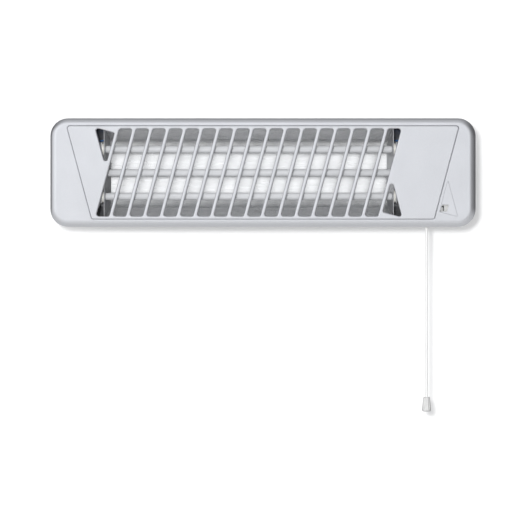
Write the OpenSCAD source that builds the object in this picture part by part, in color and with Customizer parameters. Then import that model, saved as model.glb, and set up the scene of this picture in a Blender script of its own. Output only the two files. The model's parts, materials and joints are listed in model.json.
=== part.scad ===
// Wall heater with three quartz tubes behind a slatted front, and a pull-cord switch.
// The origin is the middle of the two wall screws, on the wall. X runs along the heater,
// Z is up and the front faces -Y. At rest the front is upright; it tilts to face down.

/* [Housing] */
// Width of the housing
body_w = 595; // [580:1:640]
// Height of the housing
body_h = 152; // [149:1:160]
// Radius of the housing's corners, seen from the front
corner_r = 25; // [20:1:30]
// Radius along the front edge
edge_r = 9; // [5:0.5:10]
// Depth of the front frame
frame_d = 30; // [28:1:36]
// Depth of the rear shell
shell_d = 36; // [34:1:44]
// Wall of the front frame
frame_wall = 2.5; // [2.2:0.1:3]
// Wall of the rear shell
shell_wall = 2; // [1.6:0.1:2.4]
// Step of the rear shell inside the front frame's outline
shell_step = 0.8; // [0.4:0.1:1.2]
// Distance from the housing's end to the end of the rear shell's back
back_inset_x = 7.5; // [5:0.5:12]
// Distance from the housing's top to the top of the rear shell's back
back_inset_z = 24; // [22:0.5:26]
// Bevel round the rear shell's back
back_bevel = 4; // [2:0.5:5]
// Air slots along the top, and as many along the bottom
vent_count = 22; // [10:1:24]
// Distance from one air slot to the next
vent_pitch = 17; // [10:0.5:18]
// Width of an air slot
vent_w = 4; // [2:0.5:6]
// Length of an air slot
vent_l = 20; // [12:1:24]

/* [Grille] */
// Lean of the slats and of the panel's right side, in degrees
slant = 15; // [12:1:16]
// Distance from the housing's end to the grille panel, at half height
panel_end = 40.2; // [38:0.1:43]
// Distance from the housing's top to the grille panel
panel_margin = 10.4; // [9.9:0.1:11.5]
// Radius of the grille panel's corners
panel_corner_r = 4; // [2:0.5:6]
// Thickness of the grille panel
panel_t = 2; // [1.6:0.1:2.2]
// Gap round the grille panel
panel_gap = 0.4; // [0.3:0.05:0.8]
// Number of slats
slat_count = 18; // [14:1:18]
// Plain width of the grille panel left of the slats, at half height
plain_left = 37.82; // [35:0.01:42]
// Plain width of the grille panel right of the slats, at half height
plain_right = 77.62; // [74:0.01:86]
// Width of a slat
slat_w = 5.5; // [4:0.1:6.5]
// Depth of a slat, front to back
slat_d = 5; // [3.5:0.5:6]
// Radius of a slat's two front edges
slat_edge_r = 1.7; // [0.6:0.1:2.2]
// Plain rim of the grille panel above and below the openings
panel_rim = 4.5; // [4.3:0.1:8]
// Radius of the openings' corners
opening_r = 3.5; // [2:0.5:5]
// Longer side of the triangular holes
triangle_side = 47.3; // [40:0.1:50]

/* [Heating] */
// Outer radius of a quartz tube
tube_r = 5.25; // [4.5:0.05:5.6]
// Wall of a quartz tube
tube_wall = 1.2; // [0.9:0.1:1.5]
// Outer radius of a heating coil
coil_r = 3.2; // [2.4:0.1:3.4]
// Reach of a quartz tube past the reflector
tube_reach = 7; // [6:0.5:9]
// Reflector's reach past the outer slats
reflector_reach = 4.4; // [2:0.2:5]
// Depth of the reflector
reflector_d = 32; // [28:1:34]
// Distance from the grille panel's top to the reflector's mouth
mouth_margin = 1.6; // [1:0.1:3]
// Flat back of the reflector above the top tube's middle
flat_margin = 3; // [0:0.5:4]
// Width of the reflector's rim
reflector_rim = 4; // [2:0.5:5]
// Lean of the reflector's end walls, front to back
end_lean = 8; // [2:0.5:9]
// Height of the shallow part of each side, next to the flat back
knee_h = 13; // [10:0.5:16]
// Depth of that shallow part
knee_d = 6; // [4:0.5:9]
// Distance from the housing's front to the reflector's mouth
mouth_depth = 12; // [10:0.5:13]
// Thickness of the reflector's sheet
sheet_t = 0.8; // [0.6:0.1:1]
// Outer radius of a ceramic cap
cap_r = 7.5; // [7:0.1:8]
// Length of a ceramic cap
cap_l = 15; // [13:0.5:17]
// Depth of the tube's seat in a ceramic cap
cap_seat = 8; // [6:0.5:9]

/* [Switch and cord] */
// Distance from the housing's end to the cord
cord_end = 68.2; // [67:0.1:70]
// Length of the cord
cord_l = 248.3; // [180:0.1:400]
// Distance from the housing's front to the cord
cord_setback = 18; // [17:0.5:19]
// Radius of the cord
cord_r = 1.9; // [1.4:0.1:2.1]
// Travel of the pull rod
pull_travel = 12; // [8:0.5:12]
// Radius of the pull rod
rod_r = 2.4; // [2:0.1:2.6]
// Width of the switch
switch_w = 27; // [25:0.5:28]
// Height of the switch
switch_h = 50; // [48:0.5:52]
// Depth of the switch
switch_d = 28; // [27:0.5:28]
// Radius of the level drum
drum_r = 20; // [17:0.5:20.5]
// Width of the level drum
drum_w = 16; // [12:0.5:16]
// Width of the level window
window_w = 9.5; // [7:0.5:10]
// Height of the level window
window_h = 9.5; // [8:0.5:12]
// Length of the bob
bob_l = 20.5; // [16:0.5:24]
// Radius of the bob at its top
bob_top_r = 4.9; // [4.3:0.1:5.4]
// Radius of the bob near its bottom
bob_r = 6.4; // [5.8:0.1:7]

/* [Wall bracket] */
// Distance from the wall to the housing's back
wall_gap = 46; // [44:1:54]
// Distance from the wall to the tilt pivot
pivot_depth = 30; // [27:0.5:31]
// Distance between the outer faces of the bracket's ears
bracket_w = 260; // [240:1:300]
// Height of the wall bracket
bracket_h = 44; // [36:1:48]
// Thickness of the wall bracket's steel
bracket_t = 2; // [1.5:0.1:2.5]
// Depth of the wall bracket's long flanges
bracket_flange = 7; // [5:0.5:8]
// Distance between the wall screws
screw_spacing = 200; // [160:1:210]
// Radius of the wall screws' holes
screw_hole_r = 2.75; // [2.25:0.05:3.25]
// Radius of the pivot bolts
pivot_r = 3; // [2.5:0.05:3.5]

/* [Hidden] */
$fn = 48;

// Small sizes and fits
eps = 0.01;
fit = 0.05;          // radial clearance of a shaft in its bore
seat_gap = 0.1;      // clearance of a piece in its seat
air = 0.3;           // clearance of pieces that lie side by side
lip_h = 5;           // lip of the rear shell inside the front frame
lip_t = 1.5;
ledge_t = 2;         // ledge behind the grille panel
ledge_w = 2.5;
corner_steps = 6;

// Places front to back
back_y = -wall_gap;
split_y = back_y - shell_d;
front_y = split_y - frame_d;
inner_back_y = back_y - shell_wall;
inner_front_y = front_y + frame_wall;
panel_back_y = front_y + panel_t;
mouth_y = front_y + mouth_depth;
reflector_y = mouth_y + reflector_d;
tube_y = reflector_y - 20;
pivot_y = -pivot_depth;
rod_y = front_y + cord_setback;

// Sizes seen from the front
back_w = body_w - 2 * back_inset_x;
back_h = body_h - 2 * back_inset_z;
panel_w = body_w - 2 * panel_end;
panel_h = body_h - 2 * panel_margin;
opening_h = panel_h - 2 * panel_rim;
slat_field = panel_w - plain_left - plain_right;
slat_pitch = slat_field / (slat_count - 1);
slats_x = (plain_left - plain_right) / 2;
reflector_mouth_h = panel_h - 2 * mouth_margin;
tube_pitch = (reflector_mouth_h + reflector_rim) / 4;
reflector_back_h = 2 * (tube_pitch + flat_margin);

// Places along the heater
cord_x = body_w / 2 - cord_end;
reflector_half = slat_field / 2 + reflector_reach;
tube_half = reflector_half + tube_reach;
levels = [tube_pitch, 0, -tube_pitch];
post_x = body_w / 2 - 23.5;
post_z = body_h / 2 - 42;
post_r = 4.5;
frame_screw_r = 1.9;

// The level insert is a right triangle of 30 and 60 degrees beside the panel's right side
insert_gap = 3.5;
insert_z = -panel_h / 2 + 10.5;
insert_t = 1.2;
insert_recess = 1.6;
insert_corner_r = 0.8;
insert_x = seam_x(insert_z) + insert_gap;
window_x = insert_x + 7.5;
window_z = insert_z + 5.2;
drum_y = rod_y + 8;
shaft_r = 3;
shaft_engaged = 5;

// Switch
switch_y = rod_y + 20;   // its back face
switch_top = window_z + 35.9;
switch_bottom = switch_top - switch_h;
chamber_r = 6;
chamber_floor = switch_bottom + 3;
collar_z = chamber_floor + 25;
collar_t = 2;
eye_z = -body_h / 2 + 6;
eye_r = 3;
eye_t = 2;
link_pin_r = 1;
link_gap = 0.25;
link_ear_t = 1.2;
link_r = 2.6;
link_bottom = eye_z - 8;
guide_in_x = 3.4;
guide_back = 4.4;
guide_front = 9;
guide_t = 1.3;

// The cord hangs straight from its link to the knot in the bob
knot_depth = 12;
knot_r = cord_r + 1.2;
flutes = 10;
flute_r = 1.3;
knot_top = link_bottom - cord_l;
bob_top = knot_top + knot_depth;
CORD_ROUTE = [for (k = [0 : 4]) [cord_x, rod_y, link_bottom - cord_l * k / 4]];

// Wall bracket and pivot
ear_r = 9;
ear_x = bracket_w / 2;
washer_t = 2;
lug_t = 4;
lug_x = ear_x - bracket_t - washer_t;

// Grille panel's studs, in the plain parts of the panel: [side, z, distance from the seam]
STUD_PLACES = [[-1, panel_h / 2 - 17.6, 15.2], [-1, -40, 5.6],
    [1, panel_h / 2 - 17.6, 15.2], [1, -panel_h / 2 + 17.6, 16.4]];
PANEL_STUDS = [for (p = STUD_PLACES) [p[0] * (seam_x(p[1]) - p[2]), p[1]]];
stud_r = 1.5;
stud_l = 7;

// Terminal block and inlet, on the rear shell's back
block = [40, 15, 18];
block_at = [body_w / 2 - 71.5, inner_back_y, 22];
pole_pitch = 12;
poles = [for (k = [0 : 2]) block_at[0] + 8 + pole_pitch * k];
grommet_at = [body_w / 2 - 35.5, -4];
grommet_hole_r = 6;
grommet_r = 4.5;
grommet_l = 8;
earth_at = [body_w / 2 - 25.5, -14];
lead_r = 1.2;

silver = "#D3D6DB";
steel = "#A9ADB2";
aluminium = "#E6E8EA";
quartz = "#F1F2F0";
ceramic = "#EFECE4";
white = "#F4F4F2";
brass = "#C9A95A";
black = "#2B2B2D";

// Outline helpers

function unit(v) = v / norm(v);
function seam_x(z) = panel_w / 2 + z * tan(slant);
function slat_x(k) = slats_x + (k - (slat_count - 1) / 2) * slat_pitch;

// Arc that rounds the corner p between its neighbours
function arc(before, p, after, r) =
    let (
        a = unit(before - p),
        b = unit(after - p),
        half = acos(a * b) / 2,
        centre = p + unit(a + b) * r / sin(half),
        start = p + a * r / tan(half) - centre,
        angle = atan2(start[1], start[0]),
        left = a[0] * b[1] - a[1] * b[0] < 0 ? 1 : -1
    )
    [for (k = [0 : corner_steps])
        let (turn = angle + left * (180 - 2 * half) * k / corner_steps)
        centre + r * [cos(turn), sin(turn)]];

// Closed outline with each corner rounded
function rounded(points, r) =
    let (n = len(points))
    [for (i = [0 : n - 1])
        each arc(points[(i + n - 1) % n], points[i], points[(i + 1) % n], r)];

// Open path with its bends rounded
function bent(points, r) =
    let (n = len(points))
    [points[0],
        for (i = [1 : n - 2]) each arc(points[i - 1], points[i], points[i + 1], r),
        points[n - 1]];

// Band of sheet metal on the left of an open path
function sheet(path, t) =
    let (
        n = len(path),
        along = [for (i = [0 : n - 2]) unit(path[i + 1] - path[i])],
        side = [for (d = along) [-d[1], d[0]]],
        shifted = [for (i = [0 : n - 1])
            let (
                a = side[max(i - 1, 0)],
                b = side[min(i, n - 2)],
                mid = unit(a + b)
            )
            path[i] + mid * t / (mid * a)]
    )
    concat(path, [for (i = [n - 1 : -1 : 0]) shifted[i]]);

function box_outline(w, h) = [[-w / 2, -h / 2], [w / 2, -h / 2], [w / 2, h / 2], [-w / 2, h / 2]];

// Outline of the grille panel, grown by a distance square to its sides
function panel_outline(grow) =
    let (
        h = panel_h / 2 + grow,
        w = panel_w / 2 + grow / cos(slant),
        lean = h * tan(slant)
    )
    rounded([[-w + lean, -h], [w - lean, -h], [w + lean, h], [-w - lean, h]],
        panel_corner_r + grow);

// Right triangle with its right angle at the corner, its long side up along the slats
function triangle_points(corner, side) =
    let (up = [sin(slant), cos(slant)], across = [cos(slant), -sin(slant)])
    [corner, corner + across * side * tan(30), corner + up * side];

// Slabs and walls that face front, drawn in X and Z. The back of the slab is at y.
module facing(y, t) {
    translate([0, y, 0])
        rotate([90, 0, 0])
            linear_extrude(t)
                children();
}

// Profile drawn in Y and Z, run along X from x
module along_x(x, l) {
    translate([x, 0, 0])
        rotate([90, 0, 90])
            linear_extrude(l)
                children();
}

// Round bar along X or Y
module bar_x(at, r, l) {
    translate(at)
        rotate([0, 90, 0])
            cylinder(r = r, h = l);
}

module bar_y(at, r, l) {
    translate(at)
        rotate([-90, 0, 0])
            cylinder(r = r, h = l);
}

module both_sides() {
    children();
    mirror([1, 0, 0])
        children();
}

// Tube swept along a smooth curve through the points
function smooth(points, steps) =
    let (n = len(points))
    [for (i = [0 : n - 2]) for (k = [0 : steps - 1])
        let (
            t = k / steps,
            p0 = points[max(i - 1, 0)],
            p1 = points[i],
            p2 = points[i + 1],
            p3 = points[min(i + 2, n - 1)]
        )
        0.5 * (2 * p1 + (p2 - p0) * t + (2 * p0 - 5 * p1 + 4 * p2 - p3) * t * t
            + (3 * p1 - p0 - 3 * p2 + p3) * t * t * t),
        points[n - 1]];

// A smooth route between straight ends, so that the end faces lie square to what they meet
function route(points, steps) =
    concat([points[0]], smooth([for (i = [1 : len(points) - 2]) points[i]], steps),
        [points[len(points) - 1]]);

function tangent(path, i) = unit(path[min(i + 1, len(path) - 1)] - path[max(i - 1, 0)]);

module swept(path, r, sides, reference = [0.31, 0.23, 0.92]) {
    n = len(path);
    points = [for (i = [0 : n - 1])
        let (
            t = tangent(path, i),
            u = unit(cross(t, reference)),
            v = cross(t, u)
        )
        for (k = [0 : sides - 1])
            path[i] + r * (cos(360 * k / sides) * u + sin(360 * k / sides) * v)];
    walls = [for (i = [0 : n - 2]) for (k = [0 : sides - 1])
        let (a = i * sides + k, b = i * sides + (k + 1) % sides)
        each [[a, b, b + sides], [a, b + sides, a + sides]]];
    first = [for (k = [1 : sides - 2]) [0, k + 1, k]];
    end = (n - 1) * sides;
    last = [for (k = [1 : sides - 2]) [end, end + k, end + k + 1]];
    polyhedron(points = points, faces = concat(walls, first, last));
}

// Housing

// Edge with a round front corner, drawn with its depth upwards: the end of a solid block
module edge_profile(half, depth, r) {
    square([half - r, depth]);
    square([half, depth - r]);
    translate([half - r, depth - r])
        circle(r);
}

// Block with round corners and a round front edge, its back at z = 0
module soft_block(w, h, depth, r, edge) {
    run_x = w / 2 - r;
    run_y = h / 2 - r;
    translate([-run_x, 0, 0])
        rotate([90, 0, 90])
            linear_extrude(2 * run_x) {
                edge_profile(h / 2, depth, edge);
                mirror([1, 0])
                    edge_profile(h / 2, depth, edge);
            }
    for (side = [0, 1])
        mirror([side, 0, 0])
            translate([run_x, run_y, 0])
                rotate([90, 0, 0])
                    linear_extrude(2 * run_y)
                        edge_profile(r, depth, edge);
    for (corner = [[1, 1, 0], [-1, 1, 90], [-1, -1, 180], [1, -1, 270]])
        translate([corner[0] * run_x, corner[1] * run_y, 0])
            rotate([0, 0, corner[2]])
                rotate_extrude(angle = 90)
                    edge_profile(r, depth, edge);
}

// Turns a piece modelled with its back at z = 0 to face the front, with its back at y
module face_front(y) {
    translate([0, y, 0])
        rotate([90, 0, 0])
            children();
}

module front_frame() color(silver) {
    ear = 5.5;
    difference() {
        union() {
            difference() {
                face_front(split_y)
                    difference() {
                        soft_block(body_w, body_h, frame_d, corner_r, edge_r);
                        translate([0, 0, -1])
                            soft_block(body_w - 2 * frame_wall, body_h - 2 * frame_wall,
                                frame_d - frame_wall + 1, corner_r - frame_wall,
                                edge_r - frame_wall);
                    }
                facing(inner_front_y + 1, frame_wall + 2)
                    polygon(panel_outline(panel_gap));
            }
            // Ledge that the grille panel lies on, with four ears for its studs
            facing(panel_back_y + ledge_t, ledge_t)
                intersection() {
                    polygon(panel_outline(panel_gap + 1));
                    union() {
                        difference() {
                            polygon(panel_outline(panel_gap + 1));
                            polygon(panel_outline(-ledge_w));
                        }
                        for (stud = PANEL_STUDS)
                            translate([stud[0] - (stud[0] > 0 ? ear : panel_end), stud[1] - ear])
                                square([ear + panel_end, 2 * ear]);
                    }
                }
            for (x = [-1, 1], z = [-1, 1])
                bar_y([x * post_x, inner_front_y - 0.5, z * post_z], post_r,
                    inner_back_y - air - inner_front_y + 0.5);
        }
        for (stud = PANEL_STUDS)
            bar_y([stud[0], front_y, stud[1]], stud_r + seat_gap, 10);
        for (x = [-1, 1], z = [-1, 1])
            bar_y([x * post_x, inner_back_y - air - 16, z * post_z], frame_screw_r + fit, 20);
        // Recess of the level insert, and the hole behind its window
        facing(front_y + insert_recess, insert_recess + 1)
            polygon(rounded(triangle_points([insert_x, insert_z], triangle_side),
                insert_corner_r + 0.1));
        facing(inner_front_y + 1, frame_wall - insert_recess + 1.1)
            window_outline(1.2);
        // Opening of the cord guide in the underside
        translate([cord_x, rod_y, -body_h / 2 - 1])
            linear_extrude(frame_wall + 2)
                guide_outline(guide_t);
    }
}

// Leaning outline of the level window, grown by a distance
module window_outline(grow) {
    lean = (window_h / 2 + grow) * tan(slant);
    w = window_w / 2 + grow;
    h = window_h / 2 + grow;
    translate([window_x, window_z])
        polygon([[-w - lean, -h], [w - lean, -h], [w + lean, h], [-w + lean, h]]);
}

module level_insert() color(silver)
    facing(front_y + insert_recess, insert_t)
        difference() {
            polygon(rounded(triangle_points([insert_x, insert_z] + [0.2, 0.15],
                triangle_side - 0.9), insert_corner_r));
            window_outline(0);
        }

module window_lens() color([0.9, 0.95, 1, 0.4])
    facing(inner_front_y, frame_wall - insert_recess)
        window_outline(1);

// Opening of the cord guide, long towards the front because the cord swings that way
module guide_outline(grow) {
    r = guide_in_x + grow;
    back = guide_back - guide_in_x;
    front = -guide_front + guide_in_x;
    translate([0, back])
        circle(r);
    translate([0, front])
        circle(r);
    translate([-r, front])
        square([2 * r, back - front]);
}

module cord_guide() color(white) {
    bottom = -body_h / 2;
    translate([cord_x, rod_y, 0])
        difference() {
            union() {
                translate([0, 0, bottom + 0.3])
                    linear_extrude(frame_wall)
                        guide_outline(guide_t - seat_gap);
                // Flange inside the frame, cut short where the front edge starts to round
                translate([0, 0, bottom + frame_wall])
                    linear_extrude(1.2)
                        intersection() {
                            guide_outline(guide_t + 0.8);
                            translate([-cord_setback, edge_r - cord_setback + 0.2])
                                square(2 * cord_setback);
                        }
            }
            translate([0, 0, bottom - 1])
                linear_extrude(frame_wall + 4)
                    guide_outline(0);
        }
}

// Tapered solid of the rear shell, drawn in its own frame with its back at z = 0
module shell_solid(inset) {
    w = body_w - 2 * shell_step - 2 * inset;
    h = body_h - 2 * shell_step - 2 * inset;
    share = back_bevel / shell_d;
    near_w = back_w - 2 * inset + (w - back_w + 2 * inset) * share;
    near_h = back_h - 2 * inset + (h - back_h + 2 * inset) * share;
    hull() {
        linear_extrude(eps)
            polygon(rounded(box_outline(back_w - 2 * inset - 2 * back_bevel,
                back_h - 2 * inset - 2 * back_bevel), corner_r - 7 - inset));
        translate([0, 0, back_bevel])
            linear_extrude(eps)
                polygon(rounded(box_outline(near_w, near_h), corner_r - 5 - inset));
        translate([0, 0, shell_d - eps])
            linear_extrude(eps)
                polygon(rounded(box_outline(w, h), corner_r - shell_step - inset));
    }
}

module pivot_lug() {
    along_x(lug_x - lug_t, lug_t)
        difference() {
            union() {
                translate([pivot_y, 0])
                    circle(ear_r);
                polygon([[inner_back_y + 0.5, -16], [back_y + 1, -16], [pivot_y, -ear_r],
                    [pivot_y, ear_r], [back_y + 1, 16], [inner_back_y + 0.5, 16]]);
            }
            translate([pivot_y, 0])
                circle(pivot_r + fit);
        }
}

module rear_shell() color(silver)
    difference() {
        union() {
            face_front(back_y)
                difference() {
                    shell_solid(0);
                    translate([0, 0, shell_wall])
                        shell_solid(shell_wall);
                }
            // Lip that goes inside the front frame
            facing(split_y + shell_wall, shell_wall + lip_h)
                difference() {
                    polygon(rounded(box_outline(body_w - 2 * frame_wall - 2 * air,
                        body_h - 2 * frame_wall - 2 * air), corner_r - frame_wall - air));
                    polygon(rounded(box_outline(body_w - 2 * frame_wall - 2 * air - 2 * lip_t,
                        body_h - 2 * frame_wall - 2 * air - 2 * lip_t),
                        corner_r - frame_wall - air - lip_t));
                }
            both_sides()
                pivot_lug();
        }
        // Air slots through the top and the bottom
        for (k = [0 : vent_count - 1])
            translate([slats_x + (k - (vent_count - 1) / 2) * vent_pitch,
                (back_y + split_y) / 2, -body_h])
                linear_extrude(2 * body_h) {
                    translate([-vent_w / 2, -vent_l / 2 + vent_w / 2])
                        square([vent_w, vent_l - vent_w]);
                    for (end = [-1, 1])
                        translate([0, end * (vent_l - vent_w) / 2])
                            circle(vent_w / 2);
                }
        for (x = [-1, 1], z = [-1, 1])
            bar_y([x * post_x, inner_back_y - 2, z * post_z], frame_screw_r + air, 6);
        bar_y([grommet_at[0], inner_back_y - 2, grommet_at[1]], grommet_hole_r, 6);
        for (at = shell_screw_places())
            bar_y([at[0], inner_back_y - 2, at[1]], rack_screw_r + fit, 6);
    }

module frame_screws() color(steel)
    for (x = [-1, 1], z = [-1, 1])
        translate([x * post_x, 0, z * post_z]) {
            bar_y([0, back_y, 0], 3.6, 2.2);
            bar_y([0, inner_back_y - air - 14, 0], frame_screw_r, shell_wall + air + 14 + eps);
        }

// Grille

// One opening between two slats, drawn in X and Z
module opening(k) {
    x = (slat_x(k) + slat_x(k + 1)) / 2;
    w = (slat_pitch - slat_w) / 2;
    lean = opening_h / 2 * tan(slant);
    polygon(rounded([[x - w - lean, -opening_h / 2], [x + w - lean, -opening_h / 2],
        [x + w + lean, opening_h / 2], [x - w + lean, opening_h / 2]], opening_r));
}

// Triangular hole beside the last slat; turned half round, it is the one beside the first
module triangle_hole() {
    corner_x = slat_x(slat_count - 1) + slat_w / 2 + insert_z * tan(slant);
    polygon(rounded(triangle_points([corner_x, insert_z], triangle_side), 2.5));
}

// Cuts one of a slat's front edges round
module slat_edge(x, side) {
    straight = (opening_h / 2 - opening_r) / cos(slant) - 1.5;
    translate([x + side * slat_w / 2, front_y, 0])
        rotate([0, slant, 0])
            translate([0, 0, -straight])
                linear_extrude(2 * straight)
                    scale([-side, 1])
                        difference() {
                            translate([-0.2, -0.2])
                                square(slat_edge_r + 0.2);
                            translate([slat_edge_r, slat_edge_r])
                                circle(slat_edge_r);
                        }
}

module grille_panel() color(silver) {
    rim = slat_w / 2 + 0.45;
    field = slat_field / 2 + rim;
    lean = (opening_h / 2 + 1) * tan(slant);
    difference() {
        union() {
            facing(panel_back_y, panel_t)
                polygon(panel_outline(0));
            // The slats' field is as deep as the slats
            facing(front_y + slat_d, slat_d - 0.5)
                intersection() {
                    polygon([[slats_x - field - lean, -opening_h / 2 - 1],
                        [slats_x + field - lean, -opening_h / 2 - 1],
                        [slats_x + field + lean, opening_h / 2 + 1],
                        [slats_x - field + lean, opening_h / 2 + 1]]);
                    polygon(panel_outline(-ledge_w - air));
                }
            for (stud = PANEL_STUDS)
                bar_y([stud[0], panel_back_y - 0.5, stud[1]], stud_r, stud_l + 0.5);
        }
        for (k = [0 : slat_count - 2])
            facing(front_y + slat_d + 1, slat_d + 2)
                opening(k);
        facing(front_y + slat_d + 1, slat_d + 2)
            triangle_hole();
        facing(front_y + slat_d + 1, slat_d + 2)
            translate([slats_x, 0])
                rotate(180)
                    translate([-slats_x, 0])
                        triangle_hole();
        for (k = [1 : slat_count - 2], side = [-1, 1])
            slat_edge(slat_x(k), side);
        slat_edge(slat_x(0), 1);
        slat_edge(slat_x(slat_count - 1), -1);
    }
}

module push_nuts() color(steel)
    for (stud = PANEL_STUDS)
        facing(panel_back_y + ledge_t + 1, 1)
            translate(stud)
                difference() {
                    circle(4.5);
                    circle(stud_r + fit);
                }

// Reflector and tubes

function trough_side() = [[reflector_y, reflector_back_h / 2],
    [reflector_y - knee_d, reflector_back_h / 2 + knee_h],
    [mouth_y, reflector_mouth_h / 2], [mouth_y, reflector_mouth_h / 2 + reflector_rim]];
function trough_path() = concat([for (k = [3 : -1 : 0]) [trough_side()[k][0], -trough_side()[k][1]]],
    trough_side());

module reflector() color(aluminium)
    difference() {
        along_x(slats_x - reflector_half, 2 * reflector_half)
            polygon(sheet(bent(trough_path(), 1.5), -sheet_t));
        for (x = bracket_places())
            bar_y([x, reflector_y - 2, 0], 1.6, 6);
    }

// End wall of the reflector: what a leaning sheet leaves of the trough's inside
module reflector_end(side) color(aluminium) {
    inside = [for (k = [1 : 6])
        let (p = trough_path()[k])
        p + [0, p[1] > 0 ? -0.5 : 0.5]];
    front_x = side * (reflector_half - 1);
    back_x = side * (reflector_half - 1 - end_lean);
    translate([slats_x, 0, 0])
        difference() {
            intersection() {
                along_x(-reflector_half - 1, 2 * reflector_half + 2)
                    polygon(inside);
                translate([0, 0, -reflector_mouth_h])
                    linear_extrude(2 * reflector_mouth_h)
                        polygon([[back_x, reflector_y - air], [front_x, mouth_y],
                            [front_x - side * sheet_t, mouth_y],
                            [back_x - side * sheet_t, reflector_y - air]]);
            }
            for (z = levels)
                bar_x([-tube_half, tube_y, z], tube_r + 0.8, 2 * tube_half);
        }
}

// The hat brackets behind the reflector: half heights of their tops and feet
hat_top = 14;
hat_foot = 22;
hat_end = 34;
hat_screw_z = (hat_foot + hat_end) / 2;

function bracket_places() = [slats_x - 0.64 * reflector_half, slats_x + 0.64 * reflector_half];

module reflector_brackets() color(steel) {
    foot = inner_back_y - bent_t;
    top = reflector_y + sheet_t;
    difference() {
        for (x = bracket_places())
            along_x(x - 8, 16)
                polygon(sheet(bent([[foot, -hat_end], [foot, -hat_foot], [top, -hat_top],
                    [top, hat_top], [foot, hat_foot], [foot, hat_end]], 1.5), -bent_t));
        for (x = bracket_places()) {
            bar_y([x, reflector_y - 2, 0], 1.5 + fit, 6);
            for (z = [-hat_screw_z, hat_screw_z])
                bar_y([x, inner_back_y - 4, z], rack_screw_r + fit, 6);
        }
    }
}

module reflector_screws() color(steel)
    for (x = bracket_places()) {
        bar_y([x, reflector_y - 1.4, 0], 2.8, 1.4);
        bar_y([x, reflector_y - eps, 0], 1.5, 5);
    }

module quartz_tube(z) color(quartz)
    difference() {
        bar_x([slats_x - tube_half, tube_y, z], tube_r, 2 * tube_half);
        bar_x([slats_x - tube_half - 1, tube_y, z], tube_r - tube_wall, 2 * tube_half + 2);
    }

// A coil's outer shape, with thinner straight tails into the caps
module heating_coil(z) color(steel) {
    tail = 12;
    bar_x([slats_x - tube_half + tail, tube_y, z], coil_r, 2 * (tube_half - tail));
    bar_x([slats_x - tube_half + air, tube_y, z], 1, 2 * (tube_half - air));
}

// Ceramic caps, drawn for the right end; the stud bears on the cap's outer face
module ceramic_caps() color(ceramic)
    for (z = levels)
        difference() {
            union() {
                bar_x([tube_half - cap_seat, tube_y, z], cap_r, cap_l);
                bar_x([tube_half - cap_seat, tube_y, z], cap_r + 1.2, 3);
            }
            bar_x([tube_half - cap_seat - 2, tube_y, z], tube_r + seat_gap, cap_seat + 2);
            bar_x([tube_half - 1, tube_y, z], 1.9, cap_l);
        }

rack_h = 2 * (tube_pitch + cap_r + 2.5);
rack_x = tube_half - cap_seat + 3 + seat_gap;
rack_t = 1.2;
bent_t = 1.2;            // sheet of the bent brackets
rack_foot = 11;
rack_screw_r = 1.7;

function shell_screw_places() = concat(
    [for (side = [-1, 1], z = [-1, 1])
        [slats_x + side * (rack_x + rack_foot / 2 + 1), z * tube_pitch * 0.8]],
    [for (x = bracket_places(), z = [-hat_screw_z, hat_screw_z]) [x, z]],
    [for (x = switch_screw_places()) [x, switch_foot_z]]);

module tube_rack() color(steel)
    difference() {
        union() {
            along_x(rack_x, rack_t)
                polygon(rounded([[tube_y - cap_r - 4, -rack_h / 2], [inner_back_y, -rack_h / 2],
                    [inner_back_y, rack_h / 2], [tube_y - cap_r - 4, rack_h / 2]], 1));
            facing(inner_back_y, rack_t)
                translate([rack_x, -rack_h / 2])
                    square([rack_foot, rack_h]);
        }
        for (z = levels)
            bar_x([rack_x - 1, tube_y, z], cap_r + seat_gap, rack_t + 2);
        for (z = [-1, 1])
            bar_y([rack_x + rack_foot / 2 + 1, inner_back_y - 3, z * tube_pitch * 0.8],
                rack_screw_r + seat_gap, 6);
    }

module on_slats(side) {
    translate([slats_x, 0, 0])
        mirror([side < 0 ? 1 : 0, 0, 0])
            children();
}

module small_screw(at) {
    bar_y([at[0], inner_back_y - 3.2, at[1]], 3, 2);
    bar_y([at[0], inner_back_y - 1.3, at[1]], rack_screw_r, 1.3 + shell_wall + 1.5);
}

module rack_screws() color(steel)
    for (k = [0 : 7])
        small_screw(shell_screw_places()[k]);

// Studs with a nut; those on the right carry a tab for a lead
module terminal_studs(tab) color(brass)
    for (z = levels) {
        face = tube_half - cap_seat + cap_l;
        bar_x([tube_half + 0.3, tube_y, z], 1.8, cap_l - cap_seat + 8);
        bar_x([face + 0.9, tube_y, z], 3.2, 2.4);
        if (tab)
            translate([face, tube_y - 3, z - 3])
                cube([0.9, 12, 6]);
    }

module neutral_bus() color(brass) {
    face = tube_half - cap_seat + cap_l;
    on_slats(-1)
        along_x(face, 0.9)
            difference() {
                polygon(rounded([[tube_y - 5, -tube_pitch - 6], [tube_y + 5, -tube_pitch - 6],
                    [tube_y + 5, tube_pitch + 6], [tube_y - 5, tube_pitch + 6]], 2));
                for (z = levels)
                    translate([tube_y, z])
                        circle(1.85);
            }
}

// Switch

switch_foot_z = -back_h / 2 + 16;
function switch_screw_places() = [cord_x - switch_w / 2 - 7, cord_x + switch_w / 2 + 7];

module switch_body() color(white)
    difference() {
        translate([cord_x - switch_w / 2, switch_y - switch_d, switch_bottom])
            linear_extrude(switch_h)
                polygon([for (p = rounded(box_outline(switch_w, switch_d), 2.5))
                    p + [switch_w, switch_d] / 2]);
        translate([cord_x, rod_y, chamber_floor])
            cylinder(r = chamber_r, h = switch_h - 9);
        translate([cord_x, rod_y, switch_bottom - 1])
            cylinder(r = rod_r + fit, h = 10);
        bar_x([cord_x + switch_w / 2 - shaft_engaged, drum_y, window_z], shaft_r + fit,
            shaft_engaged + 1);
    }

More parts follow.
